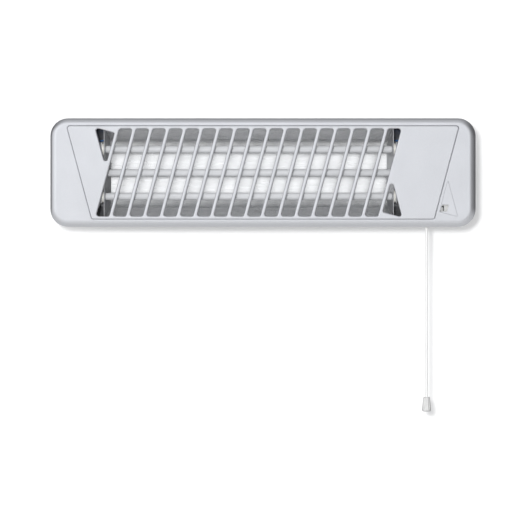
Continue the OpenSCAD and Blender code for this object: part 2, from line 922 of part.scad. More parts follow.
// Hat-shaped bracket behind the switch, with its feet on the rear shell
module switch_bracket() color(steel) {
    low = switch_foot_z - 8;
    inside = cord_x - switch_w / 2 + 3;
    outside = cord_x + switch_w / 2 - 3;
    difference() {
        translate([0, 0, low])
            linear_extrude(16)
                polygon(sheet(bent([[inside - 17, inner_back_y], [inside, inner_back_y],
                    [inside, switch_y + bent_t], [outside, switch_y + bent_t],
                    [outside, inner_back_y], [outside + 17, inner_back_y]], 1.5), -bent_t));
        for (x = switch_screw_places())
            bar_y([x, inner_back_y - 4, switch_foot_z], rack_screw_r + seat_gap, 6);
    }
}

module switch_screws() color(steel)
    for (x = switch_screw_places())
        small_screw([x, switch_foot_z]);

module level_drum() color(white) {
    translate([window_x - drum_w / 2, drum_y, window_z])
        rotate([0, 90, 0]) {
            difference() {
                cylinder(r = drum_r, h = drum_w);
                translate([0, 0, 2])
                    cylinder(r = drum_r - 1.6, h = drum_w);
            }
            cylinder(r = shaft_r + 2, h = drum_w - 1);
        }
    shaft_from = cord_x + switch_w / 2 - shaft_engaged + air;
    bar_x([shaft_from, drum_y, window_z], shaft_r, window_x - shaft_from);
}

module pull_rod() color(white)
    difference() {
        union() {
            translate([cord_x, rod_y, eye_z + eye_r + 0.1])
                cylinder(r = rod_r, h = collar_z + 4 - eye_z - eye_r);
            translate([cord_x, rod_y, collar_z])
                cylinder(r = chamber_r - 1, h = collar_t);
            translate([cord_x - eye_t / 2, rod_y - 2.2, eye_z])
                cube([eye_t, 4.4, eye_r + 1]);
            bar_x([cord_x - eye_t / 2, rod_y, eye_z], eye_r, eye_t);
        }
        bar_x([cord_x - eye_t, rod_y, eye_z], link_pin_r + fit, 2 * eye_t);
    }

// Compression spring between the chamber's floor and the rod's collar
spring_turns = 8;
spring_wire = 0.45;
spring_r = 4.2;
module return_spring() color(steel) {
    low = chamber_floor + spring_wire + 0.05;
    high = collar_z - spring_wire - 0.05;
    steps = spring_turns * 8;
    swept([for (k = [0 : steps])
        [cord_x + spring_r * cos(45 * k), rod_y + spring_r * sin(45 * k),
            low + (high - low) * k / steps]], spring_wire, 6, [0, 0, 1]);
}

module cord_link() color(white) {
    ear_at = eye_t / 2 + link_gap;
    for (side = [0, 1])
        translate([cord_x, rod_y, 0])
            mirror([side, 0, 0])
                translate([ear_at, 0, 0]) {
                    bar_x([0, 0, eye_z], link_r, link_ear_t);
                    translate([0, -link_r, eye_z - 5])
                        cube([link_ear_t, 2 * link_r, 5]);
                }
    bar_x([cord_x - ear_at - 0.1, rod_y, eye_z], link_pin_r, 2 * ear_at + 0.2);
    translate([cord_x, rod_y, link_bottom])
        cylinder(r1 = cord_r + 0.4, r2 = link_r, h = 4.5);
}

module pull_cord() color(white)
    swept(smooth(CORD_ROUTE, 8), cord_r, 8, [0, 1, 0]);

module cord_bob() color("#D9D9D6")
    translate([cord_x, rod_y, bob_top - bob_l])
        difference() {
            rotate_extrude()
                difference() {
                    union() {
                        polygon([[0, 0], [bob_r - 3, 0], [bob_r, 3], [bob_r, 4],
                            [bob_top_r, bob_l - 1], [bob_top_r - 1, bob_l], [0, bob_l]]);
                        translate([bob_r - 3, 3])
                            circle(3);
                    }
                    translate([-9, -1])
                        square([9, bob_l + 2]);
                }
            translate([0, 0, -1])
                cylinder(r = cord_r + seat_gap, h = bob_l + 2);
            translate([0, 0, -1])
                cylinder(r = knot_r + 0.3, h = bob_l - knot_depth + 1);
            for (k = [0 : flutes - 1])
                rotate([0, 0, 360 * (k + 0.5) / flutes])
                    translate([bob_r + flute_r - 0.5, 0, 3.5])
                        rotate([0, -atan((bob_r - bob_top_r) / (bob_l - 5)), 0])
                            cylinder(r = flute_r, h = bob_l);
        }

module cord_knot() color(white)
    translate([cord_x, rod_y, knot_top - 5])
        rotate_extrude()
            polygon([[0, 0], [cord_r, 0], [knot_r - 0.2, 1.4], [knot_r, 2.6], [knot_r - 0.4, 4.2],
                [cord_r, 5], [0, 5]]);

// Mains inlet and leads

module terminal_block() color(ceramic)
    difference() {
        translate(block_at)
            translate([0, -block[1], 0])
                cube(block);
        for (x = poles, z = [5, block[2] - 5])
            bar_y([x, block_at[1] - block[1] - 1, block_at[2] + z], 3, 7);
    }

module terminal_screws() color(brass)
    for (x = poles, z = [5, block[2] - 5])
        bar_y([x, block_at[1] - block[1] + 3, block_at[2] + z], 2.8, 3);

module earth_screw() color(brass) {
    bar_y([earth_at[0], inner_back_y - 3, earth_at[1]], 4, 3);
}

module cable_grommet() color(black)
    translate([grommet_at[0], 0, grommet_at[1]])
        difference() {
            union() {
                bar_y([0, inner_back_y - 2.5, 0], grommet_hole_r + 2, 2.5);
                bar_y([0, inner_back_y - 2, 0], grommet_hole_r - seat_gap, 5);
                bar_y([0, back_y, 0], grommet_hole_r + 2, grommet_l - 2.5 - shell_wall);
            }
            bar_y([0, inner_back_y - 3, 0], grommet_r, grommet_l + 2);
        }

// Routes of the leads, chosen by hand; each ends face to face with what it serves
lead_y = inner_back_y - 7;
tab_x = slats_x + tube_half - cap_seat + cap_l + 0.45;
tab_y = tube_y + 9;
bus_x = slats_x - tube_half + cap_seat - cap_l - 0.45;
top_z = rack_h / 2 + 3.5;
HEAT_TOP = [[cord_x - 11.3, switch_y - 6, switch_top],
    [cord_x - 11.3, switch_y - 6, switch_top + 8], [cord_x - 15.3, switch_y - 1, switch_top + 20],
    [cord_x - 23.3, lead_y - 13, tube_pitch - 13], [tab_x, lead_y - 11, tube_pitch - 4],
    [tab_x, lead_y - 15, tube_pitch], [tab_x, tab_y, tube_pitch]];
HEAT_MIDDLE = [[cord_x - 3.3, switch_y - 6, switch_top],
    [cord_x - 3.3, switch_y - 6, switch_top + 7], [cord_x - 9.3, switch_y + 2, switch_top + 12],
    [cord_x - 20.3, lead_y - 11, 0], [tab_x, lead_y - 14, 0], [tab_x, tab_y, 0]];
HEAT_BOTTOM = [[cord_x - switch_w / 2, switch_y - 4, switch_top - 30],
    [cord_x - 17.3, switch_y - 4, switch_top - 30],
    [cord_x - 23.3, lead_y - 17, -tube_pitch - 7], [tab_x, lead_y - 14, -tube_pitch - 1],
    [tab_x, lead_y - 17, -tube_pitch], [tab_x, tab_y, -tube_pitch]];
LIVE = [[poles[0], lead_y, block_at[2]], [poles[0], lead_y, block_at[2] - 8],
    [poles[0] + 1, lead_y - 5, block_at[2] - 18], [poles[0] + 1, switch_y - 2, switch_top + 11],
    [poles[0] + 1, switch_y - 8, switch_top + 6], [poles[0] + 1, switch_y - 8, switch_top]];
NEUTRAL = [[poles[1], lead_y, block_at[2] + block[2]], [poles[1], lead_y, block_at[2] + block[2] + 3],
    [poles[1] - 11, lead_y, top_z],
    for (share = [0.95, 0.4, -0.2, -0.75]) [slats_x + share * tube_half, lead_y, top_z],
    [bus_x + 11, lead_y, top_z], [bus_x, lead_y - 6, tube_pitch + 5],
    [bus_x, lead_y - 18, tube_pitch / 2 + 1.5], [bus_x, lead_y - 23, tube_pitch / 2 + 0.5],
    [bus_x, tube_y + 5, tube_pitch / 2 + 0.5]];
EARTH = [[poles[2], lead_y, block_at[2]], [poles[2], lead_y, block_at[2] - 8],
    [earth_at[0] - 6, lead_y - 2, block_at[2] - 18],
    [earth_at[0], lead_y - 2, earth_at[1] + 8], [earth_at[0], lead_y - 1, earth_at[1]],
    [earth_at[0], inner_back_y - 3, earth_at[1]]];

module heating_leads() color(white) {
    for (points = [HEAT_TOP, HEAT_MIDDLE, HEAT_BOTTOM])
        swept(route(points, 3), lead_r, 6);
}

module live_lead() color("#7A4A2A")
    swept(route(LIVE, 3), lead_r, 6);

module neutral_lead() color("#3A6EA8")
    swept(route(NEUTRAL, 3), lead_r, 6, [0.31, 0.93, 0.12]);

module earth_lead() color("#8DB33A")
    swept(route(EARTH, 3), lead_r, 6);

// Wall bracket

module wall_bracket() color(steel)
    difference() {
        union() {
            facing(0, bracket_t)
                polygon(rounded(box_outline(bracket_w, bracket_h), 3));
            for (side = [0, 1])
                mirror([0, 0, side])
                    translate([-bracket_w / 2 + 6, -bracket_flange, bracket_h / 2 - bracket_t])
                        cube([bracket_w - 12, bracket_flange, bracket_t]);
            both_sides()
                along_x(ear_x - bracket_t, bracket_t) {
                    translate([pivot_y, 0])
                        circle(ear_r);
                    polygon([[0, -bracket_h / 2 + 4], [0, bracket_h / 2 - 4], [pivot_y, ear_r],
                        [pivot_y, -ear_r]]);
                }
        }
        both_sides()
            bar_x([ear_x - bracket_t - 1, pivot_y, 0], pivot_r + fit, bracket_t + 2);
        for (side = [-1, 1])
            bar_y([side * screw_spacing / 2, -bracket_t - 1, 0], screw_hole_r, bracket_t + 2);
    }

module pivot_bolts() color(steel)
    both_sides() {
        bar_x([ear_x, pivot_y, 0], 5.5, 3.5);
        bar_x([lug_x - lug_t - 6, pivot_y, 0], pivot_r, ear_x - lug_x + lug_t + 6 + eps);
    }

module pivot_nuts() color(steel)
    both_sides()
        difference() {
            translate([lug_x - lug_t - seat_gap - 4.5, pivot_y, 0])
                rotate([0, 90, 0])
                    cylinder(r = 5.8, h = 4.5, $fn = 6);
            bar_x([lug_x - lug_t - 9, pivot_y, 0], pivot_r + fit, 12);
        }

module friction_washers() color(black)
    both_sides()
        difference() {
            bar_x([lug_x + seat_gap, pivot_y, 0], 8, washer_t - seat_gap);
            bar_x([lug_x - 1, pivot_y, 0], pivot_r + seat_gap, washer_t + 2);
        }

wall_bracket();
pivot_bolts();
pivot_nuts();
friction_washers();
rear_shell();
front_frame();
frame_screws();
grille_panel();
push_nuts();
level_insert();
window_lens();
reflector();
reflector_end(-1);  // reflector_end_left
reflector_end(1);  // reflector_end_right
reflector_brackets();
reflector_screws();
quartz_tube(levels[0]);  // quartz_tube_top
quartz_tube(levels[1]);  // quartz_tube_middle
quartz_tube(levels[2]);  // quartz_tube_bottom
heating_coil(levels[0]);  // heating_coil_top
heating_coil(levels[1]);  // heating_coil_middle
heating_coil(levels[2]);  // heating_coil_bottom
on_slats(-1) ceramic_caps();  // ceramic_caps_left
on_slats(1) ceramic_caps();  // ceramic_caps_right
on_slats(-1) tube_rack();  // tube_rack_left
on_slats(1) tube_rack();  // tube_rack_right
rack_screws();
on_slats(-1) terminal_studs(false);  // terminal_studs_left
on_slats(1) terminal_studs(true);  // terminal_studs_right
neutral_bus();
switch_body();
switch_bracket();
switch_screws();
cord_guide();
terminal_block();
terminal_screws();
earth_screw();
cable_grommet();
heating_leads();
live_lead();
neutral_lead();
earth_lead();
level_drum();
pull_rod();
return_spring();
cord_link();
pull_cord();
cord_bob();
cord_knot();
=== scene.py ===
"""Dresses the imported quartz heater: materials, finer pieces, cord, backdrop, lights and camera."""
import json
import math

import bmesh
import bpy
from mathutils import Matrix, Vector


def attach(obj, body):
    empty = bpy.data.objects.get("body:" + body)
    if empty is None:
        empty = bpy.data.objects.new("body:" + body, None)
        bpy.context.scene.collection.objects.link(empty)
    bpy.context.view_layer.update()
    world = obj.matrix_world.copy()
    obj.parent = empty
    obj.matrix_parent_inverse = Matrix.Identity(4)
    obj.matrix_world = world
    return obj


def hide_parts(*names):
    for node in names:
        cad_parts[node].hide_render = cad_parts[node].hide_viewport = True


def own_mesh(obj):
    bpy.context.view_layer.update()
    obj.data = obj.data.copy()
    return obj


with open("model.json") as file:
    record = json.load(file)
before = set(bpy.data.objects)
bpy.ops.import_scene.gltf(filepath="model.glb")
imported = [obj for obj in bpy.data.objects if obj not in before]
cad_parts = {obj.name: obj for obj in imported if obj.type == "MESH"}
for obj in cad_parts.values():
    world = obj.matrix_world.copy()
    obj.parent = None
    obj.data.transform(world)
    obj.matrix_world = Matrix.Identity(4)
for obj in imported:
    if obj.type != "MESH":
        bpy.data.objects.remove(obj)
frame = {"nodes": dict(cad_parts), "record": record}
bpy.context.view_layer.update()

# Sizes and places, in metres, as the part's source has them

MM = 0.001
FRONT_Y = -0.112
PANEL_BACK_Y = -0.110
SLAT_BACK_Y = -0.107
TUBE_Y = -0.088
PIVOT_Y, BOLT_X, NUT_X, WASHER_X = -0.030, 0.116, 0.1174, 0.1261
SLANT = math.radians(15)
PANEL_W, PANEL_H, PANEL_CORNER = 0.5146, 0.1312, 0.004
SLATS_X, SLAT_COUNT, SLAT_PITCH, SLAT_W = -0.0199, 18, 0.02348, 0.0055
OPENING_H, OPENING_CORNER = 0.1222, 0.0035
TRIANGLE_SIDE, TRIANGLE_CORNER = 0.0473, 0.0025
SLAT_EDGE, SLAT_BACK_EDGE = 0.0017, 0.0006
PANEL_STUDS = ((-0.255, 0.048), (-0.241, -0.040), (0.255, 0.048), (0.228, -0.048))
STUD_R, STUD_L = 0.0015, 0.007
TUBE_LEVELS = {"top": 0.033, "middle": 0.0, "bottom": -0.033}
TUBE_HALF = 0.21098
CORD_X, CORD_Y, CORD_R = 0.2293, -0.094, 0.0019
LINK_BOTTOM, BOB_TOP, BOB_L = -0.078, -0.3143, 0.0205
KNOT_TOP = BOB_TOP - 0.012
LEAD_R = 0.0012
INLET = (0.262, -0.0505, -0.004)
WINDOW_X, WINDOW_HALF, WINDOW_CORNER = 0.25354, 0.00475, 0.0004
INSERT_Z, INSERT_CORNER = -0.0551, 0.0008
INSERT_FRONT_Y, INSERT_BACK_Y, INSERT_EDGE = -0.1116, -0.1104, 0.0003
DRUM_Y, DRUM_Z, DRUM_R = -0.086, -0.0499, 0.020
DRUM_LEFT, SHAFT_LEFT = WINDOW_X - 0.008, 0.2381

# Camera

CAMERA_DISTANCE, CAMERA_X, CAMERA_Z = 4.5, 0.0035, -0.130
VIEW_WIDTH, SENSOR_MM = 0.7416, 36
camera_data = bpy.data.cameras.new("camera")
camera_data.sensor_width = SENSOR_MM
camera_data.lens = SENSOR_MM * CAMERA_DISTANCE / VIEW_WIDTH
camera_data.clip_end = 60
camera = bpy.data.objects.new("camera", camera_data)
camera.location = (CAMERA_X, FRONT_Y - CAMERA_DISTANCE, CAMERA_Z)
camera.rotation_euler = (math.radians(90), 0, 0)
bpy.context.scene.collection.objects.link(camera)
bpy.context.scene.camera = camera


# Material kit

# The range that most of a noise texture lies in
NOISE_LOW, NOISE_HIGH = 0.3, 0.7


class Finish:
    """A node material under construction: one shader, and textures on Object coordinates."""

    def __init__(self, name, colour, metallic=0.0, roughness=0.5, **sockets):
        self.material = bpy.data.materials.new(name)
        self.material.use_nodes = True
        self.nodes = self.material.node_tree.nodes
        self.shader = self.nodes["Principled BSDF"]
        self.shader.inputs["Base Color"].default_value = (*colour, 1)
        self.shader.inputs["Metallic"].default_value = metallic
        self.shader.inputs["Roughness"].default_value = roughness
        for socket, value in sockets.items():
            self.shader.inputs[socket.replace("_", " ")].default_value = value
        self.place = self.add("ShaderNodeTexCoord").outputs["Object"]

    def add(self, kind, **values):
        """A node whose sockets, or else properties, have these values."""
        node = self.nodes.new(kind)
        for name, value in values.items():
            if name in node.inputs:
                node.inputs[name].default_value = value
            else:
                setattr(node, name, value)
        return node

    def link(self, source, target):
        self.material.node_tree.links.new(source, target)

    def mapped(self, scale=(1, 1, 1), location=(0, 0, 0)):
        node = self.add("ShaderNodeMapping", Scale=scale, Location=location)
        self.link(self.place, node.inputs["Vector"])
        return node.outputs["Vector"]

    def noise(self, scale, detail=3.0, vector=None):
        node = self.add("ShaderNodeTexNoise", Scale=scale, Detail=detail)
        self.link(vector or self.place, node.inputs["Vector"])
        return node.outputs["Fac"]

    def spread(self, factor, low, high):
        """The range of a noise, spread from low to high."""
        node = self.add("ShaderNodeMapRange")
        for socket, value in zip(("From Min", "From Max", "To Min", "To Max"),
                                 (NOISE_LOW, NOISE_HIGH, low, high)):
            node.inputs[socket].default_value = value
        self.link(factor, node.inputs["Value"])
        return node.outputs["Result"]

    def colours(self, factor, first, second, start=NOISE_LOW, end=NOISE_HIGH):
        """A ramp between two colours over the factor's range from start to end."""
        node = self.add("ShaderNodeValToRGB")
        for element, place, colour in zip(node.color_ramp.elements, (start, end), (first, second)):
            element.position = place
            element.color = (*colour, 1)
        self.link(factor, node.inputs["Fac"])
        return node.outputs["Color"]

    def bump(self, height, distance, strength=1.0, under=None):
        node = self.add("ShaderNodeBump", Distance=distance, Strength=strength)
        self.link(height, node.inputs["Height"])
        if under:
            self.link(under, node.inputs["Normal"])
        return node.outputs["Normal"]

    def use(self, **links):
        """Links sources to the shader's sockets and hands over the material."""
        for socket, source in links.items():
            self.link(source, self.shader.inputs[socket.replace("_", " ")])
        return self.material


def silver_paint():
    """Sprayed silver on a moulding: fine metal flake and a faint orange peel."""
    f = Finish("silver_paint", (0.70, 0.71, 0.74), metallic=0.85, roughness=0.38)
    flake = f.noise(2600, 2)
    cloud = f.noise(35, 4)
    peel = f.bump(f.noise(900, 2), 0.00003, 0.5)
    return f.use(
        Base_Color=f.colours(flake, (0.63, 0.64, 0.67), (0.75, 0.76, 0.79)),
        Roughness=f.spread(cloud, 0.36, 0.41),
        Normal=f.bump(flake, 0.00002, 0.2, under=peel))


def thin_paint():
    """The silver paint darkened as painted shade on the slats' flanks and on what lies behind them.
    """
    f = Finish("thin_paint", (0.33, 0.34, 0.36), metallic=0.4, roughness=0.55)
    flake = f.noise(2600, 2)
    return f.use(
        Base_Color=f.colours(f.noise(140, 4), (0.28, 0.29, 0.31), (0.40, 0.41, 0.43)),
        Roughness=f.spread(flake, 0.55, 0.68),
        Normal=f.bump(flake, 0.00003, 0.5))


def bracket_paint():
    """Powder paint with a fine grain."""
    f = Finish("bracket_paint", (0.5, 0.51, 0.53), metallic=0.3, roughness=0.5)
    grain = f.noise(1500, 3)
    return f.use(
        Base_Color=f.colours(grain, (0.46, 0.47, 0.49), (0.56, 0.57, 0.59)),
        Roughness=f.spread(f.noise(60), 0.45, 0.58),
        Normal=f.bump(grain, 0.00005, 0.6))


def zinc_steel():
    """Zinc-plated steel, cloudy, with the sheet's rolling marks."""
    f = Finish("zinc_steel", (0.62, 0.63, 0.65), metallic=1.0, roughness=0.35)
    grain = f.noise(1, 4, f.mapped(scale=(300, 2500, 2500)))
    return f.use(
        Base_Color=f.colours(f.noise(120, 4), (0.50, 0.51, 0.54), (0.70, 0.70, 0.70)),
        Roughness=f.spread(grain, 0.25, 0.45),
        Normal=f.bump(grain, 0.00002, 0.4))


def bright_aluminium():
    """The reflector's bright sheet, rolled along its length and a little wavy."""
    f = Finish("bright_aluminium", (0.92, 0.925, 0.93), metallic=1.0, roughness=0.2)
    rolled = f.noise(1, 3, f.mapped(scale=(40, 1800, 1800)))
    waves = f.bump(f.noise(22, 2), 0.0006, 0.5)
    return f.use(
        Base_Color=f.colours(f.noise(70, 3), (0.88, 0.885, 0.89), (0.95, 0.95, 0.955)),
        Roughness=f.spread(rolled, 0.24, 0.34),
        Normal=f.bump(rolled, 0.00002, 0.3, under=waves))


def dull_aluminium():
    """The reflector's end walls, rolled upright and rougher than the reflector, in a darker tone
    that is painted shade.
    """
    f = Finish("dull_aluminium", (0.55, 0.555, 0.565), metallic=1.0, roughness=0.45)
    rolled = f.noise(1, 3, f.mapped(scale=(1800, 40, 1800)))
    return f.use(
        Base_Color=f.colours(f.noise(90, 3), (0.48, 0.485, 0.50), (0.60, 0.605, 0.61)),
        Roughness=f.spread(rolled, 0.38, 0.52),
        Normal=f.bump(rolled, 0.00002, 0.3))


def milky_quartz():
    """Opaline quartz with drawing lines along the tube, through which the coil just shows."""
    f = Finish("milky_quartz", (0.74, 0.75, 0.77), roughness=0.3, IOR=1.46, Alpha=0.88)
    drawn = f.noise(1, 3, f.mapped(scale=(12, 900, 900)))
    return f.use(
        Base_Color=f.colours(drawn, (0.70, 0.71, 0.73), (0.78, 0.79, 0.81)),
        Roughness=f.spread(drawn, 0.24, 0.34),
        Normal=f.bump(drawn, 0.00002, 0.3))


def resistance_wire():
    """Heating wire with scale on it."""
    f = Finish("resistance_wire", (0.35, 0.33, 0.31), metallic=1.0, roughness=0.45)
    scale_marks = f.noise(900, 4)
    return f.use(
        Base_Color=f.colours(scale_marks, (0.26, 0.24, 0.23), (0.46, 0.44, 0.42)),
        Roughness=f.spread(scale_marks, 0.35, 0.6),
        Normal=f.bump(scale_marks, 0.00002, 0.5))


def fired_ceramic():
    """Speckled ceramic, half glazed."""
    f = Finish("fired_ceramic", (0.88, 0.86, 0.81), roughness=0.35, Coat_Weight=0.2)
    speck = f.noise(1800, 2)
    return f.use(
        Base_Color=f.colours(speck, (0.80, 0.78, 0.72), (0.90, 0.885, 0.84), 0.25, 0.4),
        Roughness=f.spread(f.noise(200), 0.28, 0.42),
        Normal=f.bump(f.noise(500, 3), 0.00004, 0.4))


def turned_brass():
    """Brass with fine tool marks and some tarnish."""
    f = Finish("turned_brass", (0.75, 0.62, 0.34), metallic=1.0, roughness=0.3)
    turned_marks = f.noise(1500, 3)
    return f.use(
        Base_Color=f.colours(f.noise(150, 4), (0.64, 0.50, 0.25), (0.80, 0.67, 0.38)),
        Roughness=f.spread(turned_marks, 0.22, 0.4),
        Normal=f.bump(turned_marks, 0.00002, 0.4))


def moulded_plastic(name, colour, cloud_scale, dark, light):
    """Moulded plastic with a faint mould texture and clouds in its colour."""
    f = Finish(name, colour, roughness=0.4)
    texture = f.noise(2200, 2)
    return f.use(
        Base_Color=f.colours(f.noise(cloud_scale, 3), dark, light),
        Roughness=f.spread(texture, 0.36, 0.48),
        Normal=f.bump(texture, 0.00002, 0.4))


def clear_lens():
    """Clear plastic, nearly all of it let through."""
    f = Finish("clear_lens", (0.10, 0.11, 0.12), roughness=0.05, IOR=1.49, Alpha=0.08)
    return f.use(
        Roughness=f.spread(f.noise(150, 3), 0.03, 0.09),
        Normal=f.bump(f.noise(80, 2), 0.00002, 0.2))


def black_rubber():
    """Matt black rubber."""
    f = Finish("black_rubber", (0.045, 0.045, 0.047), roughness=0.6)
    texture = f.noise(1600, 3)
    return f.use(
        Base_Color=f.colours(texture, (0.035, 0.035, 0.036), (0.06, 0.06, 0.062)),
        Roughness=f.spread(texture, 0.5, 0.7),
        Normal=f.bump(texture, 0.00004, 0.5))


def printed_ink():
    """Matt black ink on the drum."""
    f = Finish("printed_ink", (0.012, 0.012, 0.013), roughness=0.8, Specular_IOR_Level=0.1)
    grain = f.noise(3000, 2)
    return f.use(
        Base_Color=f.colours(grain, (0.008, 0.008, 0.009), (0.018, 0.018, 0.019)),
        Normal=f.bump(grain, 0.00001, 0.3))


def silicone_sleeve(name, dark, light):
    """The soft sleeve of a lead."""
    f = Finish(name, light, roughness=0.45)
    texture = f.noise(700, 3)
    return f.use(
        Base_Color=f.colours(texture, dark, light),
        Roughness=f.spread(texture, 0.4, 0.55),
        Normal=f.bump(texture, 0.00004, 0.4))


def braided_cord():
    """White braid: two sets of strands that climb round the cord against each other."""
    f = Finish("braided_cord", (0.94, 0.94, 0.93), roughness=0.7, Sheen_Weight=0.3)
    at = f.mapped(location=(-CORD_X, -CORD_Y, 0))
    parts = f.add("ShaderNodeSeparateXYZ")
    f.link(at, parts.inputs["Vector"])
    angle = f.add("ShaderNodeMath", operation="ARCTAN2")
    f.link(parts.outputs["Y"], angle.inputs[0])
    f.link(parts.outputs["X"], angle.inputs[1])
    strands = []
    for way in (-1, 1):
        climb = f.add("ShaderNodeMath", operation="MULTIPLY")
        climb.inputs[1].default_value = way * 4200
        f.link(parts.outputs["Z"], climb.inputs[0])
        turn = f.add("ShaderNodeMath", operation="MULTIPLY_ADD")
        turn.inputs[1].default_value = 6
        f.link(angle.outputs[0], turn.inputs[0])
        f.link(climb.outputs[0], turn.inputs[2])
        wave = f.add("ShaderNodeMath", operation="SINE")
        f.link(turn.outputs[0], wave.inputs[0])
        strands.append(wave.outputs[0])
    over = f.add("ShaderNodeMath", operation="MAXIMUM")
    for source, target in zip(strands, over.inputs):
        f.link(source, target)
    # The colour follows the strands' height: the grooves between them are darker, as painted shade
    return f.use(
        Base_Color=f.colours(over.outputs[0], (0.86, 0.86, 0.85), (0.96, 0.96, 0.95), 0.0, 0.9),
        Normal=f.bump(over.outputs[0], 0.0001, 0.5))


FINISHES = {
    "silver_paint": silver_paint(),
    "bracket_steel": bracket_paint(),
    "steel": zinc_steel(),
    "reflector": bright_aluminium(),
    "quartz": milky_quartz(),
    "coil": resistance_wire(),
    "ceramic": fired_ceramic(),
    "brass": turned_brass(),
    "white_plastic": moulded_plastic("white_moulding", (0.86, 0.86, 0.85), 90,
                                     (0.84, 0.84, 0.825), (0.88, 0.88, 0.87)),
    "bob_plastic": moulded_plastic("grey_moulding", (0.70, 0.70, 0.69), 160,
                                   (0.66, 0.66, 0.655), (0.73, 0.73, 0.72)),
    "lens": clear_lens(),
    "rubber": black_rubber(),
    "lead_white": silicone_sleeve("white_sleeve", (0.74, 0.73, 0.69), (0.84, 0.83, 0.79)),
    "lead_brown": silicone_sleeve("brown_sleeve", (0.16, 0.08, 0.04), (0.24, 0.13, 0.07)),
    "lead_blue": silicone_sleeve("blue_sleeve", (0.05, 0.13, 0.33), (0.09, 0.20, 0.44)),
    "lead_green": silicone_sleeve("green_sleeve", (0.22, 0.36, 0.06), (0.33, 0.48, 0.10)),
    "cord": braided_cord(),
}
SLOTS = {row["node"]: row["material_slot"] for row in frame["record"]["subparts"]}
# The reflector's end walls get a darker tone, painted shade
REFLECTOR_ENDS = dull_aluminium()
for node, obj in frame["nodes"].items():
    for holder in obj.material_slots:
        holder.material = REFLECTOR_ENDS if "reflector_end" in node else FINISHES[SLOTS[node]]


# Piece kit

def piece(name, mesh, body, slot, *nodes):
    """A finished mesh as a piece that rides on a body, in place of CAD nodes."""
    obj = bpy.data.objects.new(name, mesh)
    bpy.context.scene.collection.objects.link(obj)
    mesh.materials.clear()
    mesh.materials.append(FINISHES[slot])
    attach(obj, body)
    if nodes:
        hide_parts(*nodes)
    return obj


def finished(bm, name, smooth_angle=35):
    """The bmesh as a mesh with its doubles merged, normals outward and edges sharp by angle."""
    bmesh.ops.remove_doubles(bm, verts=bm.verts, dist=1e-6)
    bmesh.ops.recalc_face_normals(bm, faces=bm.faces)
    mesh = bpy.data.meshes.new(name)
    bm.to_mesh(mesh)
    bm.free()
    mesh.shade_smooth()
    mesh.set_sharp_from_angle(angle=math.radians(smooth_angle))
    return mesh


def made(name, bm, body, slot, *nodes, smooth_angle=35):
    """The bmesh as a finished piece."""
    return piece(name, finished(bm, name, smooth_angle), body, slot, *nodes)


def applied(first, *others):
    """The mesh of the first object, with its curve, text or modifiers applied. It and the objects
    that it needs are then removed."""
    for obj in (first, *others):
        bpy.context.scene.collection.objects.link(obj)
    mesh = bpy.data.meshes.new_from_object(
        first.evaluated_get(bpy.context.evaluated_depsgraph_get()))
    for obj in (first, *others):
        bpy.data.objects.remove(obj)
    return mesh


def curve_mesh(name, splines, cyclic=True, **settings):
    """A curve through lists of points, turned into a mesh."""
    curve = bpy.data.curves.new(name, "CURVE")
    for key, value in settings.items():
        setattr(curve, key, value)
    for points in splines:
        spline = curve.splines.new("POLY")
        spline.points.add(len(points) - 1)
        for target, source in zip(spline.points, points):
            target.co = (*source, 0, 1) if len(source) == 2 else (*source, 1)
        spline.use_cyclic_u = cyclic
    return applied(bpy.data.objects.new(name, curve))


def turned(bm, start, along, profile, closed=False, steps=32):
    """Spins a profile of (radius, distance along) in millimetres round an axis."""
    along = Vector(along)
    out = along.orthogonal().normalized()
    start = Vector(start)
    ring = [bm.verts.new(start + (along * far + out * r) * MM) for r, far in profile]
    edges = [bm.edges.new(pair) for pair in zip(ring, ring[1:] + ring[:1] * closed)]
    bmesh.ops.spin(bm, geom=ring + edges, cent=start, axis=along, angle=2 * math.pi,
                   steps=steps, use_merge=True)


def body_of(node):
    """The body that a CAD node belongs to."""
    return next(body for body, nodes in frame["record"]["behaviour"]["bodies"].items()
                if node in nodes)


def softened(node, width):
    """A copy of a CAD node with its sharp edges rounded over, in its place."""
    bm = bmesh.new()
    bm.from_mesh(frame["nodes"][node].data)
    bmesh.ops.remove_doubles(bm, verts=bm.verts, dist=1e-6)
    bmesh.ops.dissolve_limit(bm, verts=bm.verts, edges=bm.edges, angle_limit=math.radians(0.3))
    sharp = [e for e in bm.edges
             if len(e.link_faces) == 2 and e.calc_face_angle(0) > math.radians(35)]
    bmesh.ops.bevel(bm, geom=sharp, offset=width, offset_type="OFFSET", segments=2,
                    profile=0.5, affect="EDGES", material=-1, clamp_overlap=True)
    mesh = finished(bm, node + "_soft", 20)
    if "custom_normal" in mesh.attributes:
        mesh.attributes.remove(mesh.attributes["custom_normal"])
    return piece(node + "_soft", mesh, body_of(node), SLOTS[node], node)


def rounded(corners, radius, steps=8):
    """A closed outline with its corners rounded."""
    outline = []
    for i, corner in enumerate(corners):
        p = Vector(corner)
        a = (Vector(corners[i - 1]) - p).normalized()
        b = (Vector(corners[(i + 1) % len(corners)]) - p).normalized()
        half = a.angle(b) / 2
        centre = p + (a + b).normalized() * radius / math.sin(half)
        first = p + a * radius / math.tan(half) - centre
        last = p + b * radius / math.tan(half) - centre
        turn = first.angle_signed(last)
        for k in range(steps + 1):
            spoke = first.copy()
            spoke.rotate(Matrix.Rotation(-turn * k / steps, 2))
            outline.append(centre + spoke)
    return outline


def plate(name, outline, holes, front, back, edge):
    """A flat plate with holes, facing front, with every edge rounded."""
    mesh = curve_mesh(name, [outline, *holes], dimensions="2D", fill_mode="BOTH",
                      extrude=(back - front) / 2 - edge, bevel_depth=edge, bevel_resolution=4,
                      offset=-edge)
    mesh.transform(Matrix.Translation((0, (front + back) / 2, 0))
                   @ Matrix.Rotation(math.radians(90), 4, "X"))
    return mesh


# Slatted panel

def slat_x(k):
    """The middle of slat k, counted from the left."""
    return SLATS_X + (k - (SLAT_COUNT - 1) / 2) * SLAT_PITCH


